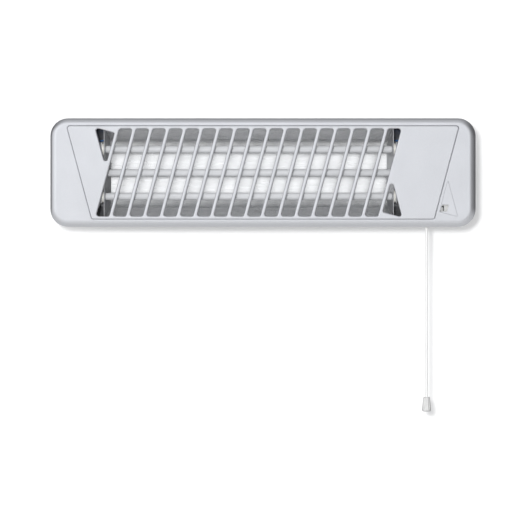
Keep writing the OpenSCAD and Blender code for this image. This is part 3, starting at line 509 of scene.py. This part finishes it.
def leaning_box(x, half_w, half_h):
    """A parallelogram round (x, 0) that leans as the slats do."""
    lean = half_h * math.tan(SLANT)
    return [(x - half_w - lean, -half_h), (x + half_w - lean, -half_h),
            (x + half_w + lean, half_h), (x - half_w + lean, half_h)]


def triangle(corner, side):
    """A right triangle with its long side up along the slats."""
    up = Vector((math.sin(SLANT), math.cos(SLANT)))
    across = Vector((math.cos(SLANT), -math.sin(SLANT)))
    corner = Vector(corner)
    return [corner, corner + across * side * math.tan(math.radians(30)), corner + up * side]


def panel_openings():
    """The slots between the slats and the two triangular holes, as outlines."""
    holes = []
    for k in range(SLAT_COUNT - 1):
        x = (slat_x(k) + slat_x(k + 1)) / 2
        holes.append(rounded(leaning_box(x, (SLAT_PITCH - SLAT_W) / 2, OPENING_H / 2),
                             OPENING_CORNER))
    corner = (slat_x(SLAT_COUNT - 1) + SLAT_W / 2 + INSERT_Z * math.tan(SLANT), INSERT_Z)
    hole = rounded(triangle(corner, TRIANGLE_SIDE), TRIANGLE_CORNER)
    holes.append(hole)
    holes.append([Vector((2 * SLATS_X - p.x, -p.y)) for p in hole])
    return holes


def slatted_panel():
    """The grille panel: front plate, deeper slats behind it and four studs."""
    lean = PANEL_H / 2 * math.tan(SLANT)
    w, h = PANEL_W / 2, PANEL_H / 2
    outline = rounded([(-w + lean, -h), (w - lean, -h), (w + lean, h), (-w - lean, h)],
                      PANEL_CORNER)
    margin_w, margin_h, overlap = 0.0026, 0.001, 0.0002
    field = leaning_box(SLATS_X, (SLAT_COUNT - 1) * SLAT_PITCH / 2 + margin_w,
                        OPENING_H / 2 + margin_h)
    bm = bmesh.new()
    # A plate twice as thick, cut through its middle, leaves the rounding of its front alone
    bm.from_mesh(plate("panel_front", outline, panel_openings(), FRONT_Y,
                       2 * PANEL_BACK_Y - FRONT_Y, SLAT_EDGE))
    bmesh.ops.bisect_plane(bm, geom=[*bm.verts, *bm.edges, *bm.faces], dist=1e-7,
                           plane_co=(0, PANEL_BACK_Y, 0), plane_no=(0, 1, 0), clear_outer=True)
    bmesh.ops.remove_doubles(bm, verts=bm.verts, dist=1e-6)
    bm.from_mesh(plate("panel_back", outline, panel_openings(), PANEL_BACK_Y, PANEL_BACK_Y, 0))
    bm.from_mesh(plate("slat_backs", field, panel_openings()[:-2], PANEL_BACK_Y - overlap,
                       SLAT_BACK_Y, SLAT_BACK_EDGE))
    for x, z in PANEL_STUDS:
        bmesh.ops.create_cone(
            bm, cap_ends=True, segments=24, radius1=STUD_R, radius2=STUD_R, depth=STUD_L,
            matrix=Matrix.Translation((x, PANEL_BACK_Y + STUD_L / 2, z))
            @ Matrix.Rotation(math.radians(90), 4, "X"))
    panel = made("slatted_panel", bm, "housing", "silver_paint", "grille_panel")
    # The front stays flat beside its rounded edges, and what lies behind them gets the darker paint,
    # painted shade
    panel.data.materials.append(thin_paint())
    for face in panel.data.polygons:
        if face.normal.y < -0.99999:
            face.use_smooth = False
        elif face.center.y > FRONT_Y + SLAT_EDGE:
            face.material_index = 1


slatted_panel()


# Cord, bob and knot

def pull_bob():
    """The bob: a hollow bell with ten flutes down its side, in millimetres from its foot."""
    flute_width, flute_depth, flute_foot, flute_top, run_in = 1.1, 0.6, 3.5, 19, 1.2
    flute_turn, outside = math.radians(36), 0.0045
    bm = bmesh.new()
    side = [(6.4 - 1.5 * t, 4 + 14.6 * t) for t in (k / 24 for k in range(25))]
    foot = [(3.9 + 2.5 * math.sin(a), 2.5 - 2.5 * math.cos(a))
            for a in (math.radians(15 * k) for k in range(7))]
    crown = [(3.1 + 1.8 * math.cos(a), 18.7 + 1.8 * math.sin(a))
             for a in (math.radians(15 * k) for k in range(1, 7))]
    inside = [(2.0, 20.3), (2.0, 8.5), (3.4, 8.3), (3.4, 0.3)]
    turned(bm, (CORD_X, CORD_Y, BOB_TOP - BOB_L), (0, 0, 1), foot + side + crown + inside,
           closed=True, steps=160)
    bmesh.ops.remove_doubles(bm, verts=bm.verts, dist=1e-7)
    for v in bm.verts:
        spoke = Vector((v.co.x - CORD_X, v.co.y - CORD_Y, 0))
        height = (v.co.z - BOB_TOP + BOB_L) / MM
        if spoke.length > outside and flute_foot < height < flute_top:
            turn = math.atan2(spoke.y, spoke.x) / flute_turn + 0.5
            off = abs((turn + 0.5) % 1 - 0.5) * flute_turn * spoke.length / MM
            depth = (flute_depth * max(0, 1 - (off / flute_width) ** 2)
                     * min(1, (height - flute_foot) / run_in))
            v.co -= spoke.normalized() * depth * MM
    return made("fluted_bob", bm, "cord", "bob_plastic", "cord_bob", smooth_angle=50)


def bob_knot():
    """An overhand knot pulled tight inside the bob."""
    radius, radius_wave, depth, depth_wave, strand_r = 1.15, 0.55, 2.6, 1.1, 0.0012
    points = []
    for k in range(48):
        a = 2 * math.pi * k / 48
        ring = radius + radius_wave * math.cos(3 * a)
        points.append((CORD_X + ring * math.cos(2 * a) * MM, CORD_Y + ring * math.sin(2 * a) * MM,
                       KNOT_TOP + (-depth + depth_wave * math.sin(3 * a)) * MM))
    mesh = curve_mesh("pulled_knot", [points], dimensions="3D", bevel_depth=strand_r,
                      bevel_resolution=3)
    return piece("pulled_knot", mesh, "cord", "cord", "cord_knot")


def pull_cord(bob, knot):
    """The braided cord, from the link down to its knot."""
    length = LINK_BOTTOM - KNOT_TOP
    rows, strand_pitch, strand_depth = 420, 0.0052, 0.00008
    bm = bmesh.new()
    ring = bmesh.ops.create_circle(bm, segments=32, radius=CORD_R,
                                   matrix=Matrix.Translation((CORD_X, CORD_Y, KNOT_TOP)))["verts"]
    edges = list({e for v in ring for e in v.link_edges})
    bmesh.ops.contextual_create(bm, geom=edges)
    for _ in range(rows):
        grown = bmesh.ops.extrude_edge_only(bm, edges=edges)["geom"]
        verts = [v for v in grown if isinstance(v, bmesh.types.BMVert)]
        bmesh.ops.translate(bm, vec=(0, 0, length / rows), verts=verts)
        edges = [e for e in grown
                 if isinstance(e, bmesh.types.BMEdge) and all(v in verts for v in e.verts)]
    bmesh.ops.contextual_create(bm, geom=edges)
    for v in bm.verts:
        spoke = Vector((v.co.x - CORD_X, v.co.y - CORD_Y, 0))
        turn = 4 * math.atan2(spoke.y, spoke.x)
        climb = 2 * math.pi * v.co.z / strand_pitch
        v.co -= spoke.normalized() * strand_depth * (1 - max(math.sin(turn + climb),
                                                             math.sin(turn - climb)))
    cord = made("white_cord", bm, "cord", "cord", "pull_cord", smooth_angle=60)


pull_cord(pull_bob(), bob_knot())


# Tubes, coils and spring

def helix(bm, start, along, radius, wire, turns, rise, steps, sides=6):
    """A wire wound round an axis: one turn is spun, and its copies follow along the axis."""
    along = Vector(along)
    out = along.orthogonal().normalized()
    tilt = Matrix((out, along, out.cross(along))).transposed().to_4x4()
    tilt.translation = Vector(start) + out * radius
    one = bmesh.new()
    section = bmesh.ops.create_circle(one, segments=sides, radius=wire, matrix=tilt)["verts"]
    edges = list({e for v in section for e in v.link_edges})
    bmesh.ops.spin(one, geom=section + edges, cent=start, axis=along, angle=2 * math.pi,
                   dvec=along * (rise / (turns * steps)), steps=steps)
    turn = bpy.data.meshes.new("turn")
    one.to_mesh(turn)
    one.free()
    for _ in range(turns):
        bm.from_mesh(turn)
        turn.transform(Matrix.Translation(along * (rise / turns)))
    bmesh.ops.remove_doubles(bm, verts=bm.verts, dist=1e-6)
    bmesh.ops.holes_fill(bm, edges=[e for e in bm.edges if e.is_boundary], sides=sides)


def quartz_tube(level, z):
    """A quartz tube with fire-polished ends."""
    outer, bore, length = 5.25, 4.05, 2 * TUBE_HALF / MM
    bm = bmesh.new()
    turned(bm, (SLATS_X - TUBE_HALF, TUBE_Y, z), (1, 0, 0),
           [(bore, 0.4), (bore + 0.4, 0), (outer - 0.4, 0), (outer, 0.4),
            (outer, length - 0.4), (outer - 0.4, length), (bore + 0.4, length),
            (bore, length - 0.4)], closed=True, steps=48)
    made("quartz_" + level, bm, "housing", "quartz", "quartz_tube_" + level, smooth_angle=50)


def heating_coil(level, z):
    """The coil that lies in a tube, with a straight pin at each end."""
    tail, coil_r, wire, turns = 0.012, 0.0029, 0.0003, 260
    start, end = SLATS_X - TUBE_HALF + tail, SLATS_X + TUBE_HALF - tail
    bm = bmesh.new()
    helix(bm, (start, TUBE_Y, z), (1, 0, 0), coil_r, wire, turns, end - start, 12, 5)
    for x, way in ((start, -1), (end, 1)):
        turned(bm, (x - way * 0.0006, TUBE_Y, z), (way, 0, 0),
               [(0, 0), (1, 0), (1, 12.2), (0, 12.2)], steps=16)
    made("coil_" + level, bm, "housing", "coil", "heating_coil_" + level, smooth_angle=50)


for level, z in TUBE_LEVELS.items():
    quartz_tube(level, z)
    heating_coil(level, z)


def ceramic_caps(side, way):
    """Turned caps on one end of the tubes, each with a collar and a hole for its stud."""
    grip = 0.008
    bm = bmesh.new()
    x = SLATS_X + way * (TUBE_HALF - grip)
    for z in TUBE_LEVELS.values():
        turned(bm, (x, TUBE_Y, z), (way, 0, 0),
               [(5.35, 0.3), (5.65, 0), (8.3, 0), (8.7, 0.4), (8.7, 2.6), (8.3, 3), (7.8, 3.05),
                (7.5, 3.4), (7.5, 14.3), (6.8, 15), (2.3, 15), (1.9, 14.6), (1.9, 8), (5.35, 8)],
               closed=True, steps=40)
    made("turned_caps_" + side, bm, "housing", "ceramic", "ceramic_caps_" + side)


ceramic_caps("left", -1)
ceramic_caps("right", 1)


def return_spring():
    """The spring that stands under the rod's collar."""
    foot, length, radius, wire, turns = -0.0605, 0.024, 0.0042, 0.00045, 8
    bm = bmesh.new()
    helix(bm, (CORD_X, CORD_Y, foot), (0, 0, 1), radius, wire, turns, length, 24)
    return made("wound_spring", bm, "housing", "steel", "return_spring", smooth_angle=60)


wound_spring = return_spring()
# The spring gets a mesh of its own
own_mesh(wound_spring)

# Leads: the slot of each, and its routes in millimetres

LEADS = {
    "heating_leads": ("lead_white", (
        ((218, -80, -14), (218, -80, -6), (214, -75, 6), (206, -68, 20), (198.53, -66, 29),
         (198.53, -70, 33), (198.53, -79, 33)),
        ((226, -80, -14), (226, -80, -7), (220, -72, -2), (209, -66, 0), (198.53, -69, 0),
         (198.53, -79, 0)),
        ((215.8, -78, -44), (212, -78, -44), (206, -72, -40), (198.53, -69, -34),
         (198.53, -72, -33), (198.53, -79, -33)))),
    "live_lead": ("lead_brown", (
        ((234, -55, 22), (234, -55, 14), (235, -60, 4), (235, -76, -3), (235, -82, -8),
         (235, -82, -14)),)),
    "neutral_lead": ("lead_blue", (
        ((246, -55, 40), (246, -55, 43), (235, -55, 46.5), (180.53, -55, 46.5),
         (64.49, -55, 46.5), (-62.1, -55, 46.5), (-178.14, -55, 46.5), (-227.33, -55, 46.5),
         (-238.33, -61, 38), (-238.33, -73, 18), (-238.33, -78, 17), (-238.33, -83, 17)),)),
    "earth_lead": ("lead_green", (
        ((258, -55, 22), (258, -55, 14), (266, -57, 4), (272, -57, -6), (272, -56, -14),
         (272, -51, -14)),)),
}


def smooth_route(points, steps=8):
    """A route through the points, straight at both ends, in metres."""
    points = [Vector(p) * MM for p in points]
    inner = points[1:-1]
    route = [points[0]]
    for i in range(len(inner) - 1):
        p0, p1, p2, p3 = (inner[max(0, min(k, len(inner) - 1))] for k in range(i - 1, i + 3))
        for t in (k / steps for k in range(steps)):
            route.append(0.5 * (2 * p1 + (p2 - p0) * t + (2 * p0 - 5 * p1 + 4 * p2 - p3) * t ** 2
                                + (3 * p1 - p0 - 3 * p2 + p3) * t ** 3))
    return [*route, inner[-1], points[-1]]


for node, (slot, routes) in LEADS.items():
    mesh = curve_mesh(node, [smooth_route(r) for r in routes], cyclic=False, dimensions="3D",
                      bevel_depth=LEAD_R, bevel_resolution=3, use_fill_caps=True)
    piece(node.replace("_", "-"), mesh, "housing", slot, node)


# Level drum and its window

# The built-in face has a bare stroke for 1, so this outline gives it a flag, for a size of 1
ONE = [(0.10, -0.05), (0.10, 0.73), (-0.03, 0.73), (-0.07, 0.66), (-0.21, 0.61), (-0.21, 0.50),
       (-0.07, 0.51), (-0.07, -0.05)]
NUMBER_SIZE, NUMBER_LEFT, NUMBER_BANDS = 0.0095, 0.0016, 12
INK_GAP, INK_THICKNESS = 0.00004, 0.00003


def number(text):
    """A number as a flat mesh in X and Y, centred, in a plain sans face."""
    if text == "1":
        return curve_mesh("number", [[(x * NUMBER_SIZE, y * NUMBER_SIZE) for x, y in ONE]],
                          dimensions="2D", fill_mode="BOTH")
    letters = bpy.data.curves.new("number", "FONT")
    letters.body = text
    letters.size = NUMBER_SIZE
    letters.align_x = "CENTER"
    letters.resolution_u = 6
    letters.offset = NUMBER_SIZE * 0.05
    return applied(bpy.data.objects.new("number", letters))


def level_numbers():
    """The numbers 0 to 3 round the drum, a quarter turn apart, with 1 to the front."""
    bm = bmesh.new()
    for level in range(4):
        mark = bmesh.new()
        mark.from_mesh(number(str(level)))
        low, high = min(v.co.y for v in mark.verts), max(v.co.y for v in mark.verts)
        middle = (low + high) / 2
        # Cut into bands, so that the flat number can bend round the drum
        for k in range(1, NUMBER_BANDS):
            bmesh.ops.bisect_plane(mark, geom=[*mark.verts, *mark.edges, *mark.faces], dist=1e-7,
                                   plane_co=(0, low + (high - low) * k / NUMBER_BANDS, 0),
                                   plane_no=(0, 1, 0))
        for v in mark.verts:
            turn = (v.co.y - middle) / DRUM_R + math.radians(90) * (level - 1)
            radius = DRUM_R + INK_GAP
            v.co = (WINDOW_X - NUMBER_LEFT + v.co.x, DRUM_Y - radius * math.cos(turn),
                    DRUM_Z + radius * math.sin(turn))
        mesh = bpy.data.meshes.new("mark")
        mark.to_mesh(mesh)
        mark.free()
        bm.from_mesh(mesh)
    bmesh.ops.solidify(bm, geom=bm.faces[:], thickness=INK_THICKNESS)
    numbers = made("level_numbers", bm, "level_drum", "rubber")
    numbers.data.materials[0] = printed_ink()


level_numbers()


def marked_drum():
    """The level drum with rounded rims on its shaft."""
    bm = bmesh.new()
    turned(bm, (DRUM_LEFT, DRUM_Y, DRUM_Z), (1, 0, 0),
           [(0, 0), (19.6, 0), (20, 0.4), (20, 15.6), (19.6, 16), (18.8, 16), (18.4, 15.6),
            (18.4, 2), (5.6, 2), (5, 2.6), (5, 14.6), (4.6, 15), (0, 15)], steps=72)
    turned(bm, (SHAFT_LEFT, DRUM_Y, DRUM_Z), (1, 0, 0),
           [(0, 0), (2.6, 0), (3, 0.4), (3, 15), (0, 15)], steps=32)
    made("marked_drum", bm, "level_drum", "white_plastic", "level_drum")


marked_drum()


def level_plate():
    """The triangular insert on the right end, with the window for the level number."""
    beside_window, gap, shorter = 0.0073, 0.00015, 0.0009
    corner = (WINDOW_X - beside_window, INSERT_Z + gap)
    side = TRIANGLE_SIDE - shorter
    window = [(x + WINDOW_X, z + DRUM_Z) for x, z in leaning_box(0, WINDOW_HALF, WINDOW_HALF)]
    mesh = plate("level_plate", rounded(triangle(corner, side), INSERT_CORNER),
                 [rounded(window, WINDOW_CORNER)], INSERT_FRONT_Y, INSERT_BACK_Y, INSERT_EDGE)
    piece("level_plate", mesh, "housing", "silver_paint", "level_insert")


level_plate()


# Screws and turned metal

def cross_screw(head_r, head_h, shank_r, length, slots=2):
    """A screw with a pan head above Z = 0 and its driver slots cut in, in millimetres."""
    bm = bmesh.new()
    turned(bm, (0, 0, 0), (0, 0, 1),
           [(0, -length), (shank_r * 0.6, -length), (shank_r, -length + shank_r * 0.6),
            (shank_r, 0), (head_r - 0.1, 0), (head_r, 0.15), (head_r, head_h * 0.45),
            (head_r * 0.93, head_h * 0.75), (head_r * 0.75, head_h * 0.94), (0, head_h)],
           steps=40)
    body = bpy.data.objects.new("screw", finished(bm, "screw"))
    # A single slot runs right across the head, a cross stays inside it
    reach = 1.1 if slots == 2 else 2.42
    bm = bmesh.new()
    for turn in range(slots):
        bmesh.ops.create_cube(
            bm, size=1, matrix=Matrix.Rotation(math.radians(90) * turn, 4, "Z")
            @ Matrix.Translation((0, 0, head_h * MM))
            @ Matrix.Diagonal((head_r * reach * MM, head_r * 0.2 * MM, head_h * 1.1 * MM, 1)))
    cutter = bpy.data.objects.new("driver", finished(bm, "driver"))
    cut = body.modifiers.new("slots", "BOOLEAN")
    cut.object, cut.operation, cut.use_self = cutter, "DIFFERENCE", True
    return applied(body, cutter)


FORWARD = Matrix.Rotation(math.radians(90), 4, "X")
BACKWARD = Matrix.Rotation(math.radians(-90), 4, "X")
SHELL_SCREW = cross_screw(3, 2, 1.7, 4.8)
SHEET_Y, REFLECTOR_Y, SHELL_Y, TERMINAL_Y = -49.2, -68, -46, -58.4


def screws(name, mesh, slot, node, places, facing=FORWARD):
    """Copies of one screw at (x, y, z) in millimetres, each turned by another angle, in place of
    a node."""
    bm = bmesh.new()
    for k, place in enumerate(places):
        one = mesh.copy()
        one.transform(Matrix.Translation(Vector(place) * MM) @ facing
                      @ Matrix.Rotation(math.radians(37 * k), 4, "Z"))
        bm.from_mesh(one)
    made(name, bm, "housing", slot, node, smooth_angle=30)


screws("rack_screw_set", SHELL_SCREW, "steel", "rack_screws",
       [(x, SHEET_Y, z) for x, z in ((-232.48, -26.4), (-232.48, 26.4), (192.68, -26.4),
                                     (192.68, 26.4), (-150.45, -28), (-150.45, 28),
                                     (110.65, -28), (110.65, 28))])
screws("switch_screw_set", SHELL_SCREW, "steel", "switch_screws",
       [(x, SHEET_Y, -36) for x in (208.8, 249.8)])
screws("reflector_screw_set", cross_screw(2.8, 1.4, 1.5, 5), "steel", "reflector_screws",
       [(x, REFLECTOR_Y, 0) for x in (-150.45, 110.65)])
screws("frame_screw_set", cross_screw(3.6, 2.2, 1.9, 16.3), "steel", "frame_screws",
       [(x, SHELL_Y, z) for x in (-274, 274) for z in (-34, 34)], BACKWARD)
screws("terminal_screw_set", cross_screw(2.8, 1.6, 2.4, 1.4, slots=1), "brass", "terminal_screws",
       [(x, TERMINAL_Y, z) for x in (234, 246, 258) for z in (27, 35)])
screws("earth_screw_head", cross_screw(4, 1.8, 3.6, 1.2), "brass", "earth_screw",
       [(272, SHEET_Y, -14)])


def pivots():
    """Bolts, nuts and washers of the two pivots."""
    bolts, nuts, washers = bmesh.new(), bmesh.new(), bmesh.new()
    for way in (-1, 1):
        along = (way, 0, 0)
        turned(bolts, (way * BOLT_X, PIVOT_Y, 0), along,
               [(0, 0), (2.5, 0), (3, 0.5), (3, 14), (5.2, 14), (5.5, 14.3), (5.5, 16.3),
                (4.9, 17.2), (3.4, 17.5), (2.6, 17.3), (2.5, 15.6), (0, 15.6)], steps=48)
        turned(nuts, (way * NUT_X, PIVOT_Y, 0), along,
               [(3.05, 0.3), (3.4, 0), (4.9, 0), (5.8, 0.6), (5.8, 3.9), (4.9, 4.5), (3.4, 4.5),
                (3.05, 4.2)], closed=True, steps=6)
        turned(washers, (way * WASHER_X, PIVOT_Y, 0), along,
               [(3.1, 0.3), (3.4, 0), (7.7, 0), (8, 0.3), (8, 1.6), (7.7, 1.9), (3.4, 1.9),
                (3.1, 1.6)], closed=True, steps=48)
    made("pivot_bolt_pair", bolts, "wall_bracket", "steel", "pivot_bolts")
    made("pivot_nut_pair", nuts, "wall_bracket", "steel", "pivot_nuts", smooth_angle=25)
    made("friction_washer_pair", washers, "wall_bracket", "rubber", "friction_washers")


pivots()


def inlet_grommet():
    """The rubber grommet of the mains inlet, with rounded lips."""
    bm = bmesh.new()
    turned(bm, INLET, (0, 1, 0),
           [(4.5, 0.4), (4.9, 0), (7.4, 0), (8, 0.6), (8, 1.9), (7.4, 2.5), (5.9, 2.5),
            (5.9, 4.5), (7.4, 4.5), (8, 5.1), (8, 6.6), (6.6, 8), (4.9, 8), (4.5, 7.6)],
           closed=True, steps=48)
    made("inlet_grommet", bm, "housing", "rubber", "cable_grommet")


inlet_grommet()

# Edges of the CAD pieces: how wide each is rounded over

EDGE_WIDTHS = {
    "wall_bracket": 0.0005, "rear_shell": 0.0004, "cord_guide": 0.0003, "cord_link": 0.0003,
    "terminal_block": 0.0005, "switch_body": 0.0004, "tube_rack_left": 0.0002,
    "tube_rack_right": 0.0002, "switch_bracket": 0.0002, "reflector_brackets": 0.0002,
    "neutral_bus": 0.00015,
}
for node, width in EDGE_WIDTHS.items():
    softened(node, width)


# Stage and lights

def stage_plane(name, corners, material):
    """A flat backdrop through four corners."""
    bm = bmesh.new()
    bm.faces.new([bm.verts.new(c) for c in corners])
    mesh = bpy.data.meshes.new(name)
    bm.to_mesh(mesh)
    bm.free()
    mesh.materials.append(material)
    obj = bpy.data.objects.new(name, mesh)
    bpy.context.scene.collection.objects.link(obj)
    return obj


def background_paint(name, colour, glow, mirrored):
    """Pale paint that a glow lifts for camera and transmission rays, and by a share of it for
    glossy rays."""
    f = Finish(name, colour, roughness=0.9)
    paths = f.add("ShaderNodeLightPath")
    seen = f.add("ShaderNodeMath", operation="MULTIPLY_ADD")
    seen.inputs[1].default_value = mirrored
    f.link(paths.outputs["Is Glossy Ray"], seen.inputs[0])
    f.link(paths.outputs["Is Camera Ray"], seen.inputs[2])
    lifted = f.add("ShaderNodeMath", operation="MAXIMUM")
    f.link(seen.outputs[0], lifted.inputs[0])
    f.link(paths.outputs["Is Transmission Ray"], lifted.inputs[1])
    strength = f.add("ShaderNodeMath", operation="MULTIPLY")
    strength.inputs[1].default_value = glow
    f.link(lifted.outputs[0], strength.inputs[0])
    f.shader.inputs["Emission Color"].default_value = (1, 1, 1, 1)
    f.link(strength.outputs[0], f.shader.inputs["Emission Strength"])
    return f


def clear_from_behind(paint):
    """Lets the paint show from the front only, so that the wall hides nothing from behind."""
    sides = paint.add("ShaderNodeNewGeometry")
    clear = paint.add("ShaderNodeBsdfTransparent")
    one_sided = paint.add("ShaderNodeMixShader")
    paint.link(sides.outputs["Backfacing"], one_sided.inputs[0])
    paint.link(paint.shader.outputs[0], one_sided.inputs[1])
    paint.link(clear.outputs[0], one_sided.inputs[2])
    paint.link(one_sided.outputs[0], paint.nodes["Material Output"].inputs["Surface"])


wall_paint = background_paint("wall_paint", (0.75, 0.75, 0.75), 0.33, 0)
clear_from_behind(wall_paint)
floor_paint = background_paint("floor_paint", (0.35, 0.35, 0.35), 0.45, 1)

WALL_HALF, WALL_TOP, FLOOR_HALF, FLOOR_Z = 3.0, 2.2, 9, -1.3
wall = stage_plane("wall", [(-WALL_HALF, 0, FLOOR_Z), (WALL_HALF, 0, FLOOR_Z),
                            (WALL_HALF, 0, WALL_TOP), (-WALL_HALF, 0, WALL_TOP)],
                   wall_paint.material)
wall.visible_diffuse = wall.visible_glossy = wall.visible_shadow = False
stage_plane("floor", [(-FLOOR_HALF, -FLOOR_HALF, FLOOR_Z), (FLOOR_HALF, -FLOOR_HALF, FLOOR_Z),
                      (FLOOR_HALF, FLOOR_HALF, FLOOR_Z), (-FLOOR_HALF, FLOOR_HALF, FLOOR_Z)],
            floor_paint.material)


LAMP_TARGET = Vector((0, -0.09, 0))


def softbox(name, place, size, power):
    """A rectangular lamp that points at the heater."""
    lamp = bpy.data.lights.new(name, "AREA")
    lamp.shape = "RECTANGLE"
    lamp.size, lamp.size_y = size
    lamp.energy = power
    obj = bpy.data.objects.new(name, lamp)
    obj.location = place
    obj.rotation_euler = (LAMP_TARGET - Vector(place)).to_track_quat("-Z", "Y").to_euler()
    bpy.context.scene.collection.objects.link(obj)
    return obj


key = softbox("key", (-0.28, -4.4, 0.14), (0.3, 0.3), 115)
key.visible_glossy = False
rear = softbox("rear", (0, 4, 0), (1.6, 1.2), 110)
rear.visible_camera = rear.visible_glossy = False


def studio_world(ambient, tint, pools):
    """Soft room light: an even glow and, added to it, pools that fade out from a direction.
    Camera rays see plain white."""
    world = bpy.data.worlds.new("studio")
    world.use_nodes = True
    nodes, links = world.node_tree.nodes, world.node_tree.links
    background = nodes["Background"]
    background.inputs["Color"].default_value = (*tint, 1)
    view = nodes.new("ShaderNodeTexCoord").outputs["Generated"]
    level = nodes.new("ShaderNodeValue")
    level.outputs[0].default_value = ambient
    total = level.outputs[0]
    for toward, full, gone, strength in pools:
        facing = nodes.new("ShaderNodeVectorMath")
        facing.operation = "DOT_PRODUCT"
        facing.inputs[1].default_value = Vector(toward).normalized()
        links.new(view, facing.inputs[0])
        fade = nodes.new("ShaderNodeMapRange")
        fade.interpolation_type = "SMOOTHSTEP"
        for socket, value in (("From Min", math.cos(math.radians(gone))),
                              ("From Max", math.cos(math.radians(full))),
                              ("To Min", 0), ("To Max", strength)):
            fade.inputs[socket].default_value = value
        links.new(facing.outputs["Value"], fade.inputs["Value"])
        added = nodes.new("ShaderNodeMath")
        links.new(total, added.inputs[0])
        links.new(fade.outputs["Result"], added.inputs[1])
        total = added.outputs[0]
    paths = nodes.new("ShaderNodeLightPath")
    seen = nodes.new("ShaderNodeMix")
    seen.inputs["B"].default_value = 1.0
    links.new(paths.outputs["Is Camera Ray"], seen.inputs["Factor"])
    links.new(total, seen.inputs["A"])
    links.new(seen.outputs["Result"], background.inputs["Strength"])
    return world


# Each pool of light: its direction, the angles at which it is full and gone, and its strength
POOLS = (
    ((-0.18, -1, 0.16), 12, 38, 1.18),
    ((0, -1, 0.1), 35, 70, 0.15),
    ((-1, -0.6, 0), 10, 45, 0.95),
    ((0, -0.55, 0.8), 10, 42, 0.4),
    ((0, 0.3, 1), 15, 60, 0.3),
)
bpy.context.scene.world = studio_world(0.03, (0.975, 0.985, 1.0), POOLS)
bpy.context.scene.view_settings.view_transform = "Standard"

bpy.context.view_layer.update()
